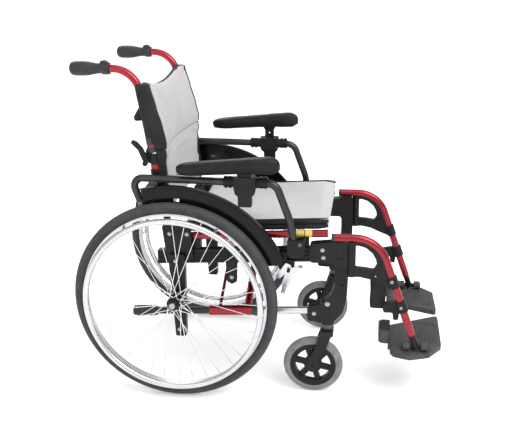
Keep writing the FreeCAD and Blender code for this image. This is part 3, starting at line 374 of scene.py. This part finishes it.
def lower_rail_look():
    """Silver tube in front, black tipping lever behind the brace."""
    look = Look("lower_rail_two_tone", (0.70, 0.71, 0.73), 0.3, 0.9)
    rear = look.ramp(look.axes()[1], 0.1396, 0.1404)
    streak = look.noise(300, 4, (1, 0.05, 1))
    silver = look.mix(look.ramp(streak, 0.3, 0.7), (0.52, 0.53, 0.55), (0.70, 0.71, 0.73))
    black = look.mix(look.ramp(look.noise(18, 5), 0.3, 0.7), (0.007, 0.007, 0.008), (0.012, 0.012, 0.0135))
    look.base(look.mix(rear, silver, black))
    look.put(look.bsdf.inputs["Metallic"], look.ramp(rear, 0, 1, 0.9, 0.0))
    look.rough(look.math("ADD", look.ramp(rear, 0, 1, 0.24, 0.36), look.math("MULTIPLY", streak, 0.14)))
    look.bump(streak, 0.0001, 0.3)
    return look


def brace_look():
    """Red brace with a black nylon bush in front of its sleeve and a yellow band on the seat tube."""
    look = red_metal("red_brace_tube")
    flakes = look.bsdf.inputs["Base Color"].links[0].from_socket
    bush = look.math("MULTIPLY", look.band(1, -0.020, 0.0195), look.band(2, 0.200, 0.290))
    sticker = look.math("MULTIPLY", look.band(1, -0.158, -0.112), look.band(2, 0.470, 0.530))
    right = look.ramp(look.axes()[0], -0.0005, 0.0005, 1.0, 0.0)
    sticker = look.math("MULTIPLY", sticker, right)
    stripe = look.band(1, -0.1385, -0.1345)
    paper = look.mix(stripe, (0.62, 0.47, 0.09), (0.20, 0.13, 0.03))
    wear = look.ramp(look.noise(220, 5), 0.62, 0.7)
    paper = look.mix(look.math("MULTIPLY", wear, 0.5), paper, (0.74, 0.66, 0.36))
    look.base(look.mix(sticker, look.mix(bush, flakes, (0.010, 0.010, 0.011)), paper))
    covered = look.math("MAXIMUM", bush, sticker)
    look.put(look.bsdf.inputs["Metallic"], look.ramp(covered, 0, 1, 0.85, 0.0))
    return look


PAINT = powder_coat()
RED = red_metal()
CANE = capped_red("red_cane_black_knuckle", 2, (0.70, 0.7535), (0.7605, 0.80))
HANGER = capped_red("red_hanger_black_end", 1, (-0.2235, -0.20))
BRACE = brace_look()
SILVER = brushed("silver_aluminium", (0.58, 0.59, 0.605), 0.95, 0.22, 0.34)
RIM = brushed("rim_aluminium", (0.66, 0.67, 0.685), 0.75, 0.3, 0.42)
STEEL = brushed("bright_steel", (0.76, 0.76, 0.78), 1.0, 0.16, 0.28)
BOLT = brushed("zinc_bolt", (0.36, 0.365, 0.38), 0.85, 0.26, 0.38)
LOWER = lower_rail_look()
MOULDED = moulded()
RAIL_RIB = moulded("ribbed_rail_coat", (0.0085, 0.0085, 0.0095), 0.34, 0.48)
PLATE = moulded("footplate_plastic", (0.052, 0.051, 0.053), 0.46, 0.6)
GUARD = glossy_guard()
ARM = satin_arm()
RUBBER = rubber_grip()
FOAM = foam_skin()
TYRE = tyre_rubber()
CASTER = caster_rubber()
MESH = spacer_mesh()
WEBBING = woven_black()
SIDE_CLOTH = woven_black("black_side_cloth", (0.0085, 0.0086, 0.0094), 3700)
BUTTON = simple_gloss("blue_grey_button", (0.055, 0.068, 0.085), 0.22, 0.34)
COLLAR = brushed("collar_zinc", (0.13, 0.132, 0.138), 0.7, 0.3, 0.42)


def paint(node, look, *parts):
    """Gives a CAD node its look; each part is another look with a test of a face's centre."""
    mesh = NODES[node].data
    mesh.materials.clear()
    mesh.materials.append(look.material)
    for index, (other, test) in enumerate(parts, start=1):
        mesh.materials.append(other.material)
        for face in mesh.polygons:
            if test(face.center):
                face.material_index = index


def on_red_ring(p):
    """The red ring on top of the back post's socket."""
    off = math.hypot(abs(p.x) - CANE_X, p.y - cane_y(p.z))
    return 0.6895 < p.z < 0.7055 and 0.0139 < off < 0.0168


def in_caster_tyre(p):
    return math.hypot(p.y - CASTER_AXLE[0], p.z - CASTER_AXLE[1]) > CASTER_TYRE_INNER


for side, sign in SIDES:
    paint(f"upper_rail_{side}", RAIL_RIB)
    paint(f"lower_rail_{side}", LOWER, (RUBBER, lambda p: p.y > 0.3145 and math.hypot(
        abs(p.x) - 0.222, p.z - seat_tube_z(p.y) + SEAT_TUBE_RISE) > 0.0112))
    paint(f"rear_bracket_{side}", PAINT, (RED, on_red_ring))
    paint(f"front_casting_{side}", PAINT)
    paint(f"frame_bolts_{side}", BOLT)
    paint(f"fender_{side}", GUARD)
    paint(f"upper_cane_{side}", CANE)
    paint(f"push_grip_{side}", RUBBER)
    paint(f"back_latch_{side}", MOULDED)
    paint(f"arm_tube_{side}", ARM)
    paint(f"arm_holder_{side}", MOULDED)
    paint(f"arm_socket_{side}", MOULDED)
    paint(f"arm_latch_{side}", BUTTON)
    paint(f"tyre_{side}", TYRE)
    paint(f"rim_{side}", RIM)
    paint(f"handrim_{side}", SILVER)
    paint(f"spokes_{side}", STEEL)
    paint(f"wheel_hub_{side}", PAINT, (BOLT, lambda p: abs(p.x) > 0.3205))
    paint(f"caster_fork_{side}", PAINT, (COLLAR, lambda p: p.z > 0.2155))
    paint(f"caster_wheel_{side}", MOULDED, (CASTER, in_caster_tyre))
    paint(f"hanger_tube_{side}", HANGER)
    paint(f"hanger_casting_{side}", MOULDED)
    paint(f"footrest_tube_{side}", PAINT)
    paint(f"footplate_{side}", PLATE)
    paint(f"brake_mount_{side}", MOULDED)
    paint(f"brake_lever_{side}", SILVER)
    paint(f"cross_brace_{side}", BRACE)


# ---------------------------------------------------------------- mesh helpers

def new_object(name, bm, *looks, smooth=True):
    mesh = bpy.data.meshes.new(name)
    bmesh.ops.recalc_face_normals(bm, faces=bm.faces)
    bm.to_mesh(mesh)
    bm.free()
    obj = bpy.data.objects.new(name, mesh)
    bpy.context.scene.collection.objects.link(obj)
    for look in looks:
        mesh.materials.append(look.material)
    if smooth:
        for face in mesh.polygons:
            face.use_smooth = True
    return obj


def loft(loops, bm=None):
    """Closed skin over equal-length rings of points."""
    bm = bm or bmesh.new()
    rows = [[bm.verts.new(p) for p in loop] for loop in loops]
    count = len(rows[0])
    for a, b in zip(rows, rows[1:]):
        for i in range(count):
            j = (i + 1) % count
            bm.faces.new((a[i], a[j], b[j], b[i]))
    bm.faces.new(rows[0])
    bm.faces.new(rows[-1])
    return bm


def tube_along(points, radius, segments=10, bm=None):
    """Round tube through the points, with closed ends."""
    loops = []
    for i, point in enumerate(points):
        ahead = points[min(i + 1, len(points) - 1)]
        behind = points[max(i - 1, 0)]
        run = (ahead - behind).normalized()
        side = run.orthogonal().normalized()
        if loops:
            side = (last_side - run * last_side.dot(run)).normalized()
        last_side = side
        other = run.cross(side)
        loops.append([point + radius * (side * math.cos(a) + other * math.sin(a))
                      for a in (math.tau * k / segments for k in range(segments))])
    return loft(loops, bm=bm)


def soft_box(half, radius, cuts):
    """Closed box with evenly rounded edges, its grid drawn together towards the edges."""
    bm = bmesh.new()
    bmesh.ops.create_cube(bm, size=2.0)
    bmesh.ops.subdivide_edges(bm, edges=bm.edges, cuts=cuts, use_grid_fill=True)
    for vert in bm.verts:
        full = [math.sin(c * math.pi / 2) * h for c, h in zip(vert.co, half)]
        core = [max(-(h - radius), min(h - radius, f)) for f, h in zip(full, half)]
        away = Vector(f - c for f, c in zip(full, core))
        vert.co = Vector(core) + (away.normalized() * radius if away.length > 1e-9 else away)
    return bm


def settle(obj):
    """Bakes an object's modifiers into its mesh."""
    bpy.context.view_layer.update()
    graph = bpy.context.evaluated_depsgraph_get()
    mesh = bpy.data.meshes.new_from_object(obj.evaluated_get(graph))
    obj.modifiers.clear()
    old = obj.data
    obj.data = mesh
    bpy.data.meshes.remove(old)


def puff(obj, cap, pressure=4.0, voxel=0.005, pinned=None, frames=20):
    """Fills a pad by cloth simulation: remesh, inflate without gravity, and cap each point's travel."""
    remesh = obj.modifiers.new("remesh", "REMESH")
    remesh.mode = "VOXEL"
    remesh.voxel_size = voxel
    settle(obj)
    start = [v.co.copy() for v in obj.data.vertices]
    cloth = obj.modifiers.new("cloth", "CLOTH")
    settings = cloth.settings
    settings.quality = 5
    settings.mass = 0.25
    settings.tension_stiffness = 18
    settings.compression_stiffness = 18
    settings.shear_stiffness = 8
    settings.bending_stiffness = 0.6
    settings.use_pressure = True
    settings.uniform_pressure_force = pressure
    settings.effector_weights.gravity = 0.0
    cloth.collision_settings.use_collision = False
    cloth.collision_settings.use_self_collision = False
    cloth.point_cache.frame_start = 1
    cloth.point_cache.frame_end = frames
    if pinned:
        group = obj.vertex_groups.new(name="pinned")
        group.add([i for i, p in enumerate(start) if pinned(p)], 1.0, "REPLACE")
        settings.vertex_group_mass = "pinned"
    scene = bpy.context.scene
    for step in range(1, frames + 1):
        scene.frame_set(step)
    settle(obj)
    scene.frame_set(1)
    for vert, origin in zip(obj.data.vertices, start):
        travel = vert.co - origin
        if travel.length > cap:
            vert.co = origin + travel * (cap / travel.length)
    obj.vertex_groups.clear()
    for face in obj.data.polygons:
        face.use_smooth = True


def colour_faces(obj, rules):
    """Sets the material of each face from the first rule whose test fits its centre and normal."""
    for face in obj.data.polygons:
        for index, test in rules:
            if test(face.center, face.normal):
                face.material_index = index
                break


def subdivide(obj, levels=1):
    modifier = obj.modifiers.new("fine", "SUBSURF")
    modifier.levels = levels
    modifier.render_levels = levels


def add_to(obj, bm_extra, material_index):
    """Adds extra mesh to an object, in one of its materials."""
    bm = bmesh.new()
    bm.from_mesh(obj.data)
    mesh = bpy.data.meshes.new("extra")
    bm_extra.to_mesh(mesh)
    bm_extra.free()
    before = len(bm.faces)
    bm.from_mesh(mesh)
    bm.faces.ensure_lookup_table()
    for face in bm.faces[before:]:
        face.material_index = material_index
        face.smooth = True
    bm.to_mesh(obj.data)
    bm.free()
    bpy.data.meshes.remove(mesh)


# ---------------------------------------------------------------- seat

SEAT_FRONT = -0.208
SEAT_REAR = 0.222
SEAT_HALF = 0.2075
SEAT_UNDER = 0.0114
SEAT_TALL = 0.035


def seat_at(x, y, rise):
    """Point of the sloping seat, rise above its underside."""
    return Vector((x, y, seat_tube_z(y) + SEAT_UNDER + rise))


def build_seat():
    """Cushion over the seat tubes: mesh top that sags a little, black boxing of two rolls down each side."""
    mid_y = (SEAT_FRONT + SEAT_REAR) / 2
    half_y = (SEAT_REAR - SEAT_FRONT) / 2
    inset = 0.003
    half = (SEAT_HALF - 0.001 - inset, half_y - inset, SEAT_TALL / 2 - inset * 0.4)
    bm = soft_box(half, 0.011, 44)
    for vert in bm.verts:
        u, v, w = (c / h for c, h in zip(vert.co, half))
        dish = 0.009 * (1 - u * u) * (1 - v ** 4) if w > 0 else 0.0
        nose = 0.008 * max(0.0, (-v - 0.8) / 0.2) ** 2 if w > 0 else 0.0
        vert.co = seat_at(vert.co.x, mid_y + vert.co.y, SEAT_TALL / 2 + vert.co.z - dish - nose)
    obj = new_object("seat_cushion", bm, MESH, WEBBING)

    def pinned(p):
        rise = p.z - seat_at(0, p.y, 0).z
        return rise < 0.010 or abs(p.x) > SEAT_HALF - 0.008

    puff(obj, cap=0.006, pressure=3.0, voxel=0.0055, pinned=pinned)
    colour_faces(obj, [(1, lambda c, n: abs(c.x) > SEAT_HALF - 0.008 and c.z < seat_at(0, c.y, 0.0315).z),
                       (1, lambda c, n: n.z < -0.5)])
    for sign in (-1, 1):
        for low, high in ((0.0005, 0.0150), (0.0162, 0.0305)):
            loops = []
            for i in range(29):
                t = i / 28
                y = SEAT_FRONT + 0.004 + t * (SEAT_REAR - SEAT_FRONT - 0.008)
                end = min(t, 1 - t) * 28
                full = math.sqrt(max(0.0, 1 - (1 - min(1.0, end / 2.0)) ** 2)) * 0.55 + 0.45
                mid = (low + high) / 2 + 0.0006 * math.sin(i * 1.7 + low * 900)
                tall = (high - low) / 2 * full
                thick = 0.0042 * full
                loop = []
                for k in range(14):
                    a = math.tau * k / 14
                    bulge = thick * math.copysign(abs(math.cos(a)) ** 0.8, math.cos(a))
                    loop.append(seat_at(sign * (SEAT_HALF - 0.0005) + bulge, y,
                                        mid + tall * math.copysign(abs(math.sin(a)) ** 0.7, math.sin(a))))
                loops.append(loop)
            add_to(obj, loft(loops), 1)
        edge_x = sign * (SEAT_HALF - 0.001)
        piping = [seat_at(edge_x, SEAT_FRONT + 0.006 + i * 0.0104, 0.0318) for i in range(41)]
        add_to(obj, tube_along(piping, 0.0016, 8), 1)
    subdivide(obj)
    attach(obj, "seat")
    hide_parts("seat_sling")
    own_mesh(obj)


# ---------------------------------------------------------------- back

# how far the face of the back stands in front of the post's centre line, by height
FRONT_REACH = [
    (0.560, 0.022), (0.640, 0.027), (0.700, 0.034), (0.730, 0.042),
    (0.770, 0.050), (0.811, 0.048), (0.869, 0.041), (0.930, 0.034),
]
BACK_HALF = 0.206
BACK_DEPTH = 0.018


def back_panel(name, low, high, body):
    """One padded back panel: mesh face hollowed between the posts, black rear and sides."""
    inset = 0.0025
    half_tall = (high - low) / 2
    bm = soft_box((BACK_HALF, BACK_DEPTH, half_tall), 0.0018, 40)
    for vert in bm.verts:
        u, v = vert.co.x / BACK_HALF, vert.co.y / BACK_DEPTH
        top_sag = 0.024 * (1 - u * u) * max(0.0, vert.co.z / half_tall) if high > 0.9 else 0.0
        z = (low + high) / 2 + vert.co.z - top_sag
        reach = lerp_table(FRONT_REACH, z) - inset
        hollow = 0.017 * (1 - u ** 2)
        depth = (1 - v) / 2
        y = cane_y(z) - 0.001 - depth * (reach - 0.001) + hollow * (0.35 + 0.65 * depth)
        side = 0.192 + 0.0150 * min(1.0, max(0.0, (cane_y(z) - y - 0.018) / 0.012))
        vert.co = Vector((u * (side - inset), y, z))
    obj = new_object(name, bm, MESH, SIDE_CLOTH)

    def pinned(p):
        return abs(p.x) > 0.186 or p.z < low + 0.012 or p.z > high - 0.012

    puff(obj, cap=0.006, pressure=2.5, voxel=0.0045, pinned=pinned)
    colour_faces(obj, [(1, lambda c, n: c.y > cane_y(c.z) - lerp_table(FRONT_REACH, c.z) * 0.62
                        + 0.013 * (1 - (c.x / 0.2) ** 2) and (n.y > -0.2 or abs(n.x) > 0.5))])
    subdivide(obj)
    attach(obj, body)
    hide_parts(name.replace("_pad", ""))
    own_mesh(obj)


def wing(name, sign, low, high, body):
    """Black side cloth: a sleeve round the post above the hinge, running forward to the edge of the face."""
    loops = []
    steps = 60
    for i in range(steps + 1):
        z = low + (high - low) * i / steps
        wrap = min(1.0, max(0.0, (z - 0.7615) / 0.008))
        wrap = wrap * wrap * (3 - 2 * wrap)
        reach = lerp_table(FRONT_REACH, z) - 0.0030
        wave = 0.0010 * noise.noise(Vector((z * 26, sign * 3.0, 0.0)))
        fold = 0.0024 * noise.noise(Vector((z * 14, sign * 7.0, 2.0)))
        rear = 0.0045 + (0.0087 + wave) * wrap
        rear_y = -0.0145 * (1 - wrap)
        middle_x = CANE_X + 0.006 * (1 - wrap)
        loop = [(middle_x - rear * math.cos(a), rear_y + rear * math.sin(a))
                for a in (math.pi * k / 12 for k in range(13))]
        front_x = CANE_X + 0.003
        outer = []
        inner = []
        for t in (0.12, 0.3, 0.5, 0.7, 0.86):
            y = rear_y - t * (reach + rear_y)
            bow = fold * math.sin(math.pi * t)
            outer.append((middle_x + rear + (front_x + 0.0035 - middle_x - rear) * t ** 1.6 + bow, y))
            inner.append((middle_x - rear + (front_x - 0.0065 - middle_x + rear) * t ** 0.8, y))
        nose = [(front_x + 0.0025, -reach + 0.0012), (front_x - 0.001, -reach)]
        nose.append((front_x - 0.0050, -reach + 0.0012))
        ring = loop + outer + nose + inner[::-1]
        loops.append([Vector((sign * px, cane_y(z) + py, z)) for px, py in ring])
    obj = new_object(name, loft(loops), SIDE_CLOTH, WEBBING)
    piping = []
    for i in range(steps + 1):
        z = low + 0.002 + (high - low - 0.004) * i / steps
        piping.append(Vector((sign * (CANE_X + 0.0045), cane_y(z) - lerp_table(FRONT_REACH, z) + 0.0055, z)))
    add_to(obj, tube_along(piping, 0.0016, 8), 1)
    subdivide(obj)
    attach(obj, body)


def pull_tab():
    """Folded webbing tab sewn behind the near side of the back."""
    points = [(0.002, 0.873), (0.030, 0.838), (0.033, 0.829), (0.028, 0.823), (0.002, 0.825)]
    loops = []
    for x, scale in ((-0.196, 0.9), (-0.1945, 1.0), (-0.1905, 1.0), (-0.189, 0.9)):
        loops.append([
            Vector((x, cane_y(z) + 0.010 + y * scale, 0.845 + (z - 0.845) * scale)) for y, z in points
        ])
    obj = new_object("back_pull_tab", loft(loops), WEBBING, smooth=False)
    bevel = obj.modifiers.new("soft", "BEVEL")
    bevel.width = 0.001
    bevel.segments = 2
    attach(obj, "back_right")


# ---------------------------------------------------------------- arm pads

PAD_X = 0.264
PAD_Y = 0.074
PAD_Z = 0.6885
PAD_TILT = math.radians(3.4)
PAD_HALF = 0.150
PAD_WIDE = 0.027
# heights of the pad's top and underside along its length, front first
PAD_TOP = [
    (-0.150, 0.045), (-0.120, 0.0500), (-0.080, 0.0480), (-0.030, 0.0445),
    (0.040, 0.0425), (0.110, 0.0425), (0.150, 0.041),
]
PAD_FOOT = [
    (-0.150, 0.002), (-0.128, -0.005), (-0.095, -0.002), (-0.060, 0.003),
    (0.040, 0.003), (0.100, 0.001), (0.150, 0.003),
]
PAD_LIFT = {"right": 0.0, "left": 0.025}


def pad_point(sign, lift, across, along, rise):
    """Point of a tilted arm pad from its own across, along and rise."""
    y = PAD_Y + along * math.cos(PAD_TILT) + rise * math.sin(PAD_TILT)
    z = PAD_Z + lift + rise * math.cos(PAD_TILT) - along * math.sin(PAD_TILT)
    return Vector((sign * PAD_X + across, y, z))


def build_arm_pad(side, sign):
    """Saddle-shaped foam pad with a deep front nose, and the flat post under it."""
    lift = PAD_LIFT[side]
    inset = 0.0022
    loops = []
    steps = 44
    for i in range(steps + 1):
        s = -math.cos(math.pi * i / steps)
        along = s * (PAD_HALF - inset)
        top = lerp_table(PAD_TOP, along) - inset
        foot = lerp_table(PAD_FOOT, along) + inset
        end = (1 - abs(s) ** 12) ** (1 / 3)
        mid = (top + foot) / 2 + (-0.004 if s < 0 else 0.001) * (1 - end)
        tall = (top - foot) / 2 * max(end, 0.02)
        wide = (PAD_WIDE - inset) * max((1 - abs(s) ** 7) ** (1 / 2.4), 0.02)
        loop = []
        for k in range(28):
            a = math.tau * k / 28
            ca, sa = math.cos(a), math.sin(a)
            px = math.copysign(abs(ca) ** 0.62, ca) * wide
            pz = math.copysign(abs(sa) ** 0.62, sa) * tall
            crown = -0.0012 * (1 - (px / PAD_WIDE) ** 2) if sa > 0.5 else 0.0
            loop.append(pad_point(sign, lift, px, along, mid + pz + crown))
        loops.append(loop)
    obj = new_object(f"arm_pad_foam_{side}", loft(loops), FOAM)
    puff(obj, cap=0.003, pressure=3.0, voxel=0.0042)
    subdivide(obj)
    body = f"arm_rest_{side}"
    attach(obj, body)
    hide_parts(f"arm_pad_{side}")
    seam = []
    for i in range(61):
        a = math.tau * i / 60
        along = 0.1455 * math.copysign(abs(math.cos(a)) ** 0.35, math.cos(a))
        across = 0.0262 * math.copysign(abs(math.sin(a)) ** 0.45, math.sin(a))
        seam.append(pad_point(sign, lift, across, along, lerp_table(PAD_FOOT, along) + 0.0085))
    line = new_object(f"arm_pad_seam_{side}", tube_along(seam, 0.0009, 6), FOAM)
    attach(line, body)
    build_post(side, sign, lift, body)


def build_post(side, sign, lift, body):
    """Flat height-setting post, flared under the pad, with its round hole."""
    y0 = 0.027
    wide = 0.0149
    hole_z = 0.672 + lift
    radius = 0.0031
    foot = 0.5995 + lift
    top = 0.696 + lift
    flare = top - 0.014
    corners = [(y0 - wide, foot), (y0 + wide, foot), (y0 + wide, flare), (y0 + 0.024, top),
               (y0 - 0.024, top), (y0 - wide, flare)]
    outline = []
    for (ya, za), (yb, zb) in zip(corners, corners[1:] + corners[:1]):
        for t in range(4):
            outline.append((ya + (yb - ya) * t / 4, za + (zb - za) * t / 4))
    count = len(outline)
    ring = []
    for y, z in outline:
        a = math.atan2(z - hole_z, y - y0)
        ring.append((y0 + radius * math.cos(a), hole_z + radius * math.sin(a)))
    bm = bmesh.new()
    half = 0.0040
    x0 = sign * 0.2685
    rows = []
    for x in (x0 - half, x0 + half):
        rows.append([[bm.verts.new((x, y, z)) for y, z in line] for line in (outline, ring)])
    for i in range(count):
        j = (i + 1) % count
        for outer, inner in rows:
            bm.faces.new((outer[i], outer[j], inner[j], inner[i]))
        for near, far in zip(*rows):
            bm.faces.new((near[i], near[j], far[j], far[i]))
    obj = new_object(f"arm_post_{side}", bm, MOULDED, smooth=False)
    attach(obj, body)


# ---------------------------------------------------------------- calf strap and small parts

def build_calf_strap():
    """Webbing band hung doubled from the right hanger, with sewn edges and a folded hem."""
    lo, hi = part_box("calf_strap")
    mid_x = (lo.x + hi.x) / 2
    loops = []
    steps = 36
    half_y = (hi.y - lo.y) / 2 - 0.001
    mid_y = (hi.y + lo.y) / 2
    for i in range(steps + 1):
        t = i / steps
        z = hi.z - 0.002 - t * (hi.z - lo.z - 0.004)
        wave = 0.0011 * math.sin(t * 7.0) * t
        hem_low = 0.0009 * math.exp(-((t - 0.97) / 0.03) ** 2)
        hem_top = 0.0008 * math.exp(-((t - 0.08) / 0.03) ** 2)
        thick = 0.0030 + hem_low + hem_top
        end = math.sqrt(max(0.05, 1 - max(0.0, (t - 0.94) / 0.06) ** 2))
        loop = []
        for k in range(24):
            a = math.tau * k / 24
            ca, sa = math.cos(a), math.sin(a)
            edge = math.copysign(abs(ca) ** 0.35, ca)
            loop.append(Vector((mid_x + wave + math.copysign(abs(sa) ** 0.6, sa) * thick * end,
                                mid_y + edge * half_y * (0.55 + 0.45 * end) + 0.0006 * math.sin(t * 11), z)))
        loops.append(loop)
    obj = new_object("calf_strap_webbing", loft(loops), WEBBING)
    for offset in (-0.9, 0.9):
        stitches = bmesh.new()
        for i in range(26):
            z = hi.z - 0.008 - i * 0.0036
            y = mid_y + offset * half_y
            tube_along([Vector((mid_x - 0.0036, y, z)), Vector((mid_x - 0.0040, y, z - 0.0012)),
                        Vector((mid_x - 0.0036, y, z - 0.0024))], 0.0004, 6, stitches)
        add_to(obj, stitches, 0)
    subdivide(obj)
    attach(obj, "hanger_right")
    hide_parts("calf_strap")


HANGER_SCREWS = (
    (0.2372, -0.341, 0.391, 0.0032),
    (0.2430, -0.3875, 0.3770, 0.0052),
    (0.2440, -0.4165, 0.2980, 0.0048),
)


def cap_screw(name, at, body, radius=0.0048, depth=0.003, axis=(1, 0, 0)):
    """Domed socket-head screw seen end on along an axis."""
    run = Vector(axis).normalized()
    side = run.orthogonal().normalized()
    other = run.cross(side)
    profile = [
        (radius, -0.001), (radius, depth * 0.35), (radius * 0.93, depth * 0.65),
        (radius * 0.74, depth * 0.9), (radius * 0.55, depth), (radius * 0.5, depth),
        (radius * 0.46, depth * 0.35), (0.0002, depth * 0.3),
    ]
    sixth = math.pi / 3
    loops = []
    for index, (r, rise) in enumerate(profile):
        loop = []
        for k in range(24):
            a = math.tau * k / 24
            hexed = 1.0
            if 4 < index < 7:
                hexed = math.cos(sixth / 2) / math.cos(a % sixth - sixth / 2)
            loop.append(Vector(at) + run * rise + (side * math.cos(a) + other * math.sin(a)) * r * hexed)
        loops.append(loop)
    obj = new_object(name, loft(loops), BOLT)
    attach(obj, body)


build_seat()
back_panel("back_upper_pad", 0.7453, 0.934, "back_right")
back_panel("back_lower_pad", 0.561, 0.7448, "right_frame")
for side, sign in SIDES:
    wing(f"back_wing_upper_{side}", sign, 0.7458, 0.933, f"back_{side}")
    wing(f"back_wing_lower_{side}", sign, 0.575, 0.7442, f"{side}_frame")
    build_arm_pad(side, sign)
    for index, (x, y, z, radius) in enumerate(HANGER_SCREWS):
        name = f"hanger_screw_{side}_{index}"
        cap_screw(name, (sign * x, y, z), f"hanger_{side}", radius, axis=(sign, 0, 0))
pull_tab()
build_calf_strap()


# ---------------------------------------------------------------- floor, light and camera

def plane(name, size, colour, rough, glow):
    """Square of stage floor, slightly lit from within like a studio light table."""
    bm = bmesh.new()
    bmesh.ops.create_grid(bm, x_segments=1, y_segments=1, size=size)
    look = Look(name, colour, rough)
    dark, light = look.shades(0.015)
    look.base(look.mix(look.noise(3, 3), dark, light))
    look.bsdf.inputs["Emission Color"].default_value = (1.0, 1.0, 1.0, 1.0)
    look.bsdf.inputs["Emission Strength"].default_value = glow
    obj = new_object(name, bm, look, smooth=False)
    return obj


def area_light(name, place, target, size, power):
    data = bpy.data.lights.new(name, "AREA")
    data.shape = "DISK"
    data.size = size
    data.energy = power
    obj = bpy.data.objects.new(name, data)
    bpy.context.scene.collection.objects.link(obj)
    obj.location = place
    obj.rotation_euler = (Vector(target) - Vector(place)).to_track_quat("-Z", "Y").to_euler()


def build_stage():
    floor = plane("floor", 40, (0.93, 0.93, 0.93), 0.9, 0.22)
    floor.location.z = -0.0005
    world = bpy.data.worlds.new("studio")
    world.use_nodes = True
    background = world.node_tree.nodes["Background"]
    background.inputs["Color"].default_value = (1.0, 1.0, 1.0, 1.0)
    background.inputs["Strength"].default_value = 0.66
    bpy.context.scene.world = world
    middle = (0, 0, 0.5)
    area_light("key", (-1.6, -2.0, 3.4), middle, 2.2, 70)
    area_light("fill", (-3.4, 1.6, 1.8), middle, 2.4, 20)
    area_light("back", (2.6, 1.4, 2.8), middle, 2.2, 50)
    sun = bpy.data.lights.new("soft_sun", "SUN")
    sun.energy = 1.5
    sun.angle = math.radians(75)
    lamp = bpy.data.objects.new("soft_sun", sun)
    bpy.context.scene.collection.objects.link(lamp)
    lamp.rotation_euler = Vector((0.35, 0.45, -1.0)).to_track_quat("-Z", "Y").to_euler()


def build_camera():
    """Camera at the photograph's place: level bearing, downward pitch and a slight roll."""
    yaw, pitch, roll = (math.radians(v) for v in (8.85, 18.21, -1.02))
    forward = Vector((math.cos(yaw) * math.cos(pitch), math.sin(yaw) * math.cos(pitch), -math.sin(pitch)))
    right = forward.cross(Vector((0, 0, 1))).normalized()
    up = right.cross(forward)
    across = right * math.cos(roll) + up * math.sin(roll)
    upward = up * math.cos(roll) - right * math.sin(roll)
    data = bpy.data.cameras.new("camera")
    data.sensor_width = 36
    data.sensor_fit = "HORIZONTAL"
    data.lens = 774 / 508 * 36
    obj = bpy.data.objects.new("camera", data)
    bpy.context.scene.collection.objects.link(obj)
    place = Vector((-2.314, -0.316, 1.247))
    matrix = obj.matrix_world.copy()
    for row in range(3):
        matrix[row][0] = across[row]
        matrix[row][1] = upward[row]
        matrix[row][2] = -forward[row]
        matrix[row][3] = place[row]
    obj.matrix_world = matrix
    bpy.context.scene.camera = obj


build_stage()
build_camera()
bpy.context.scene.view_settings.view_transform = "Standard"
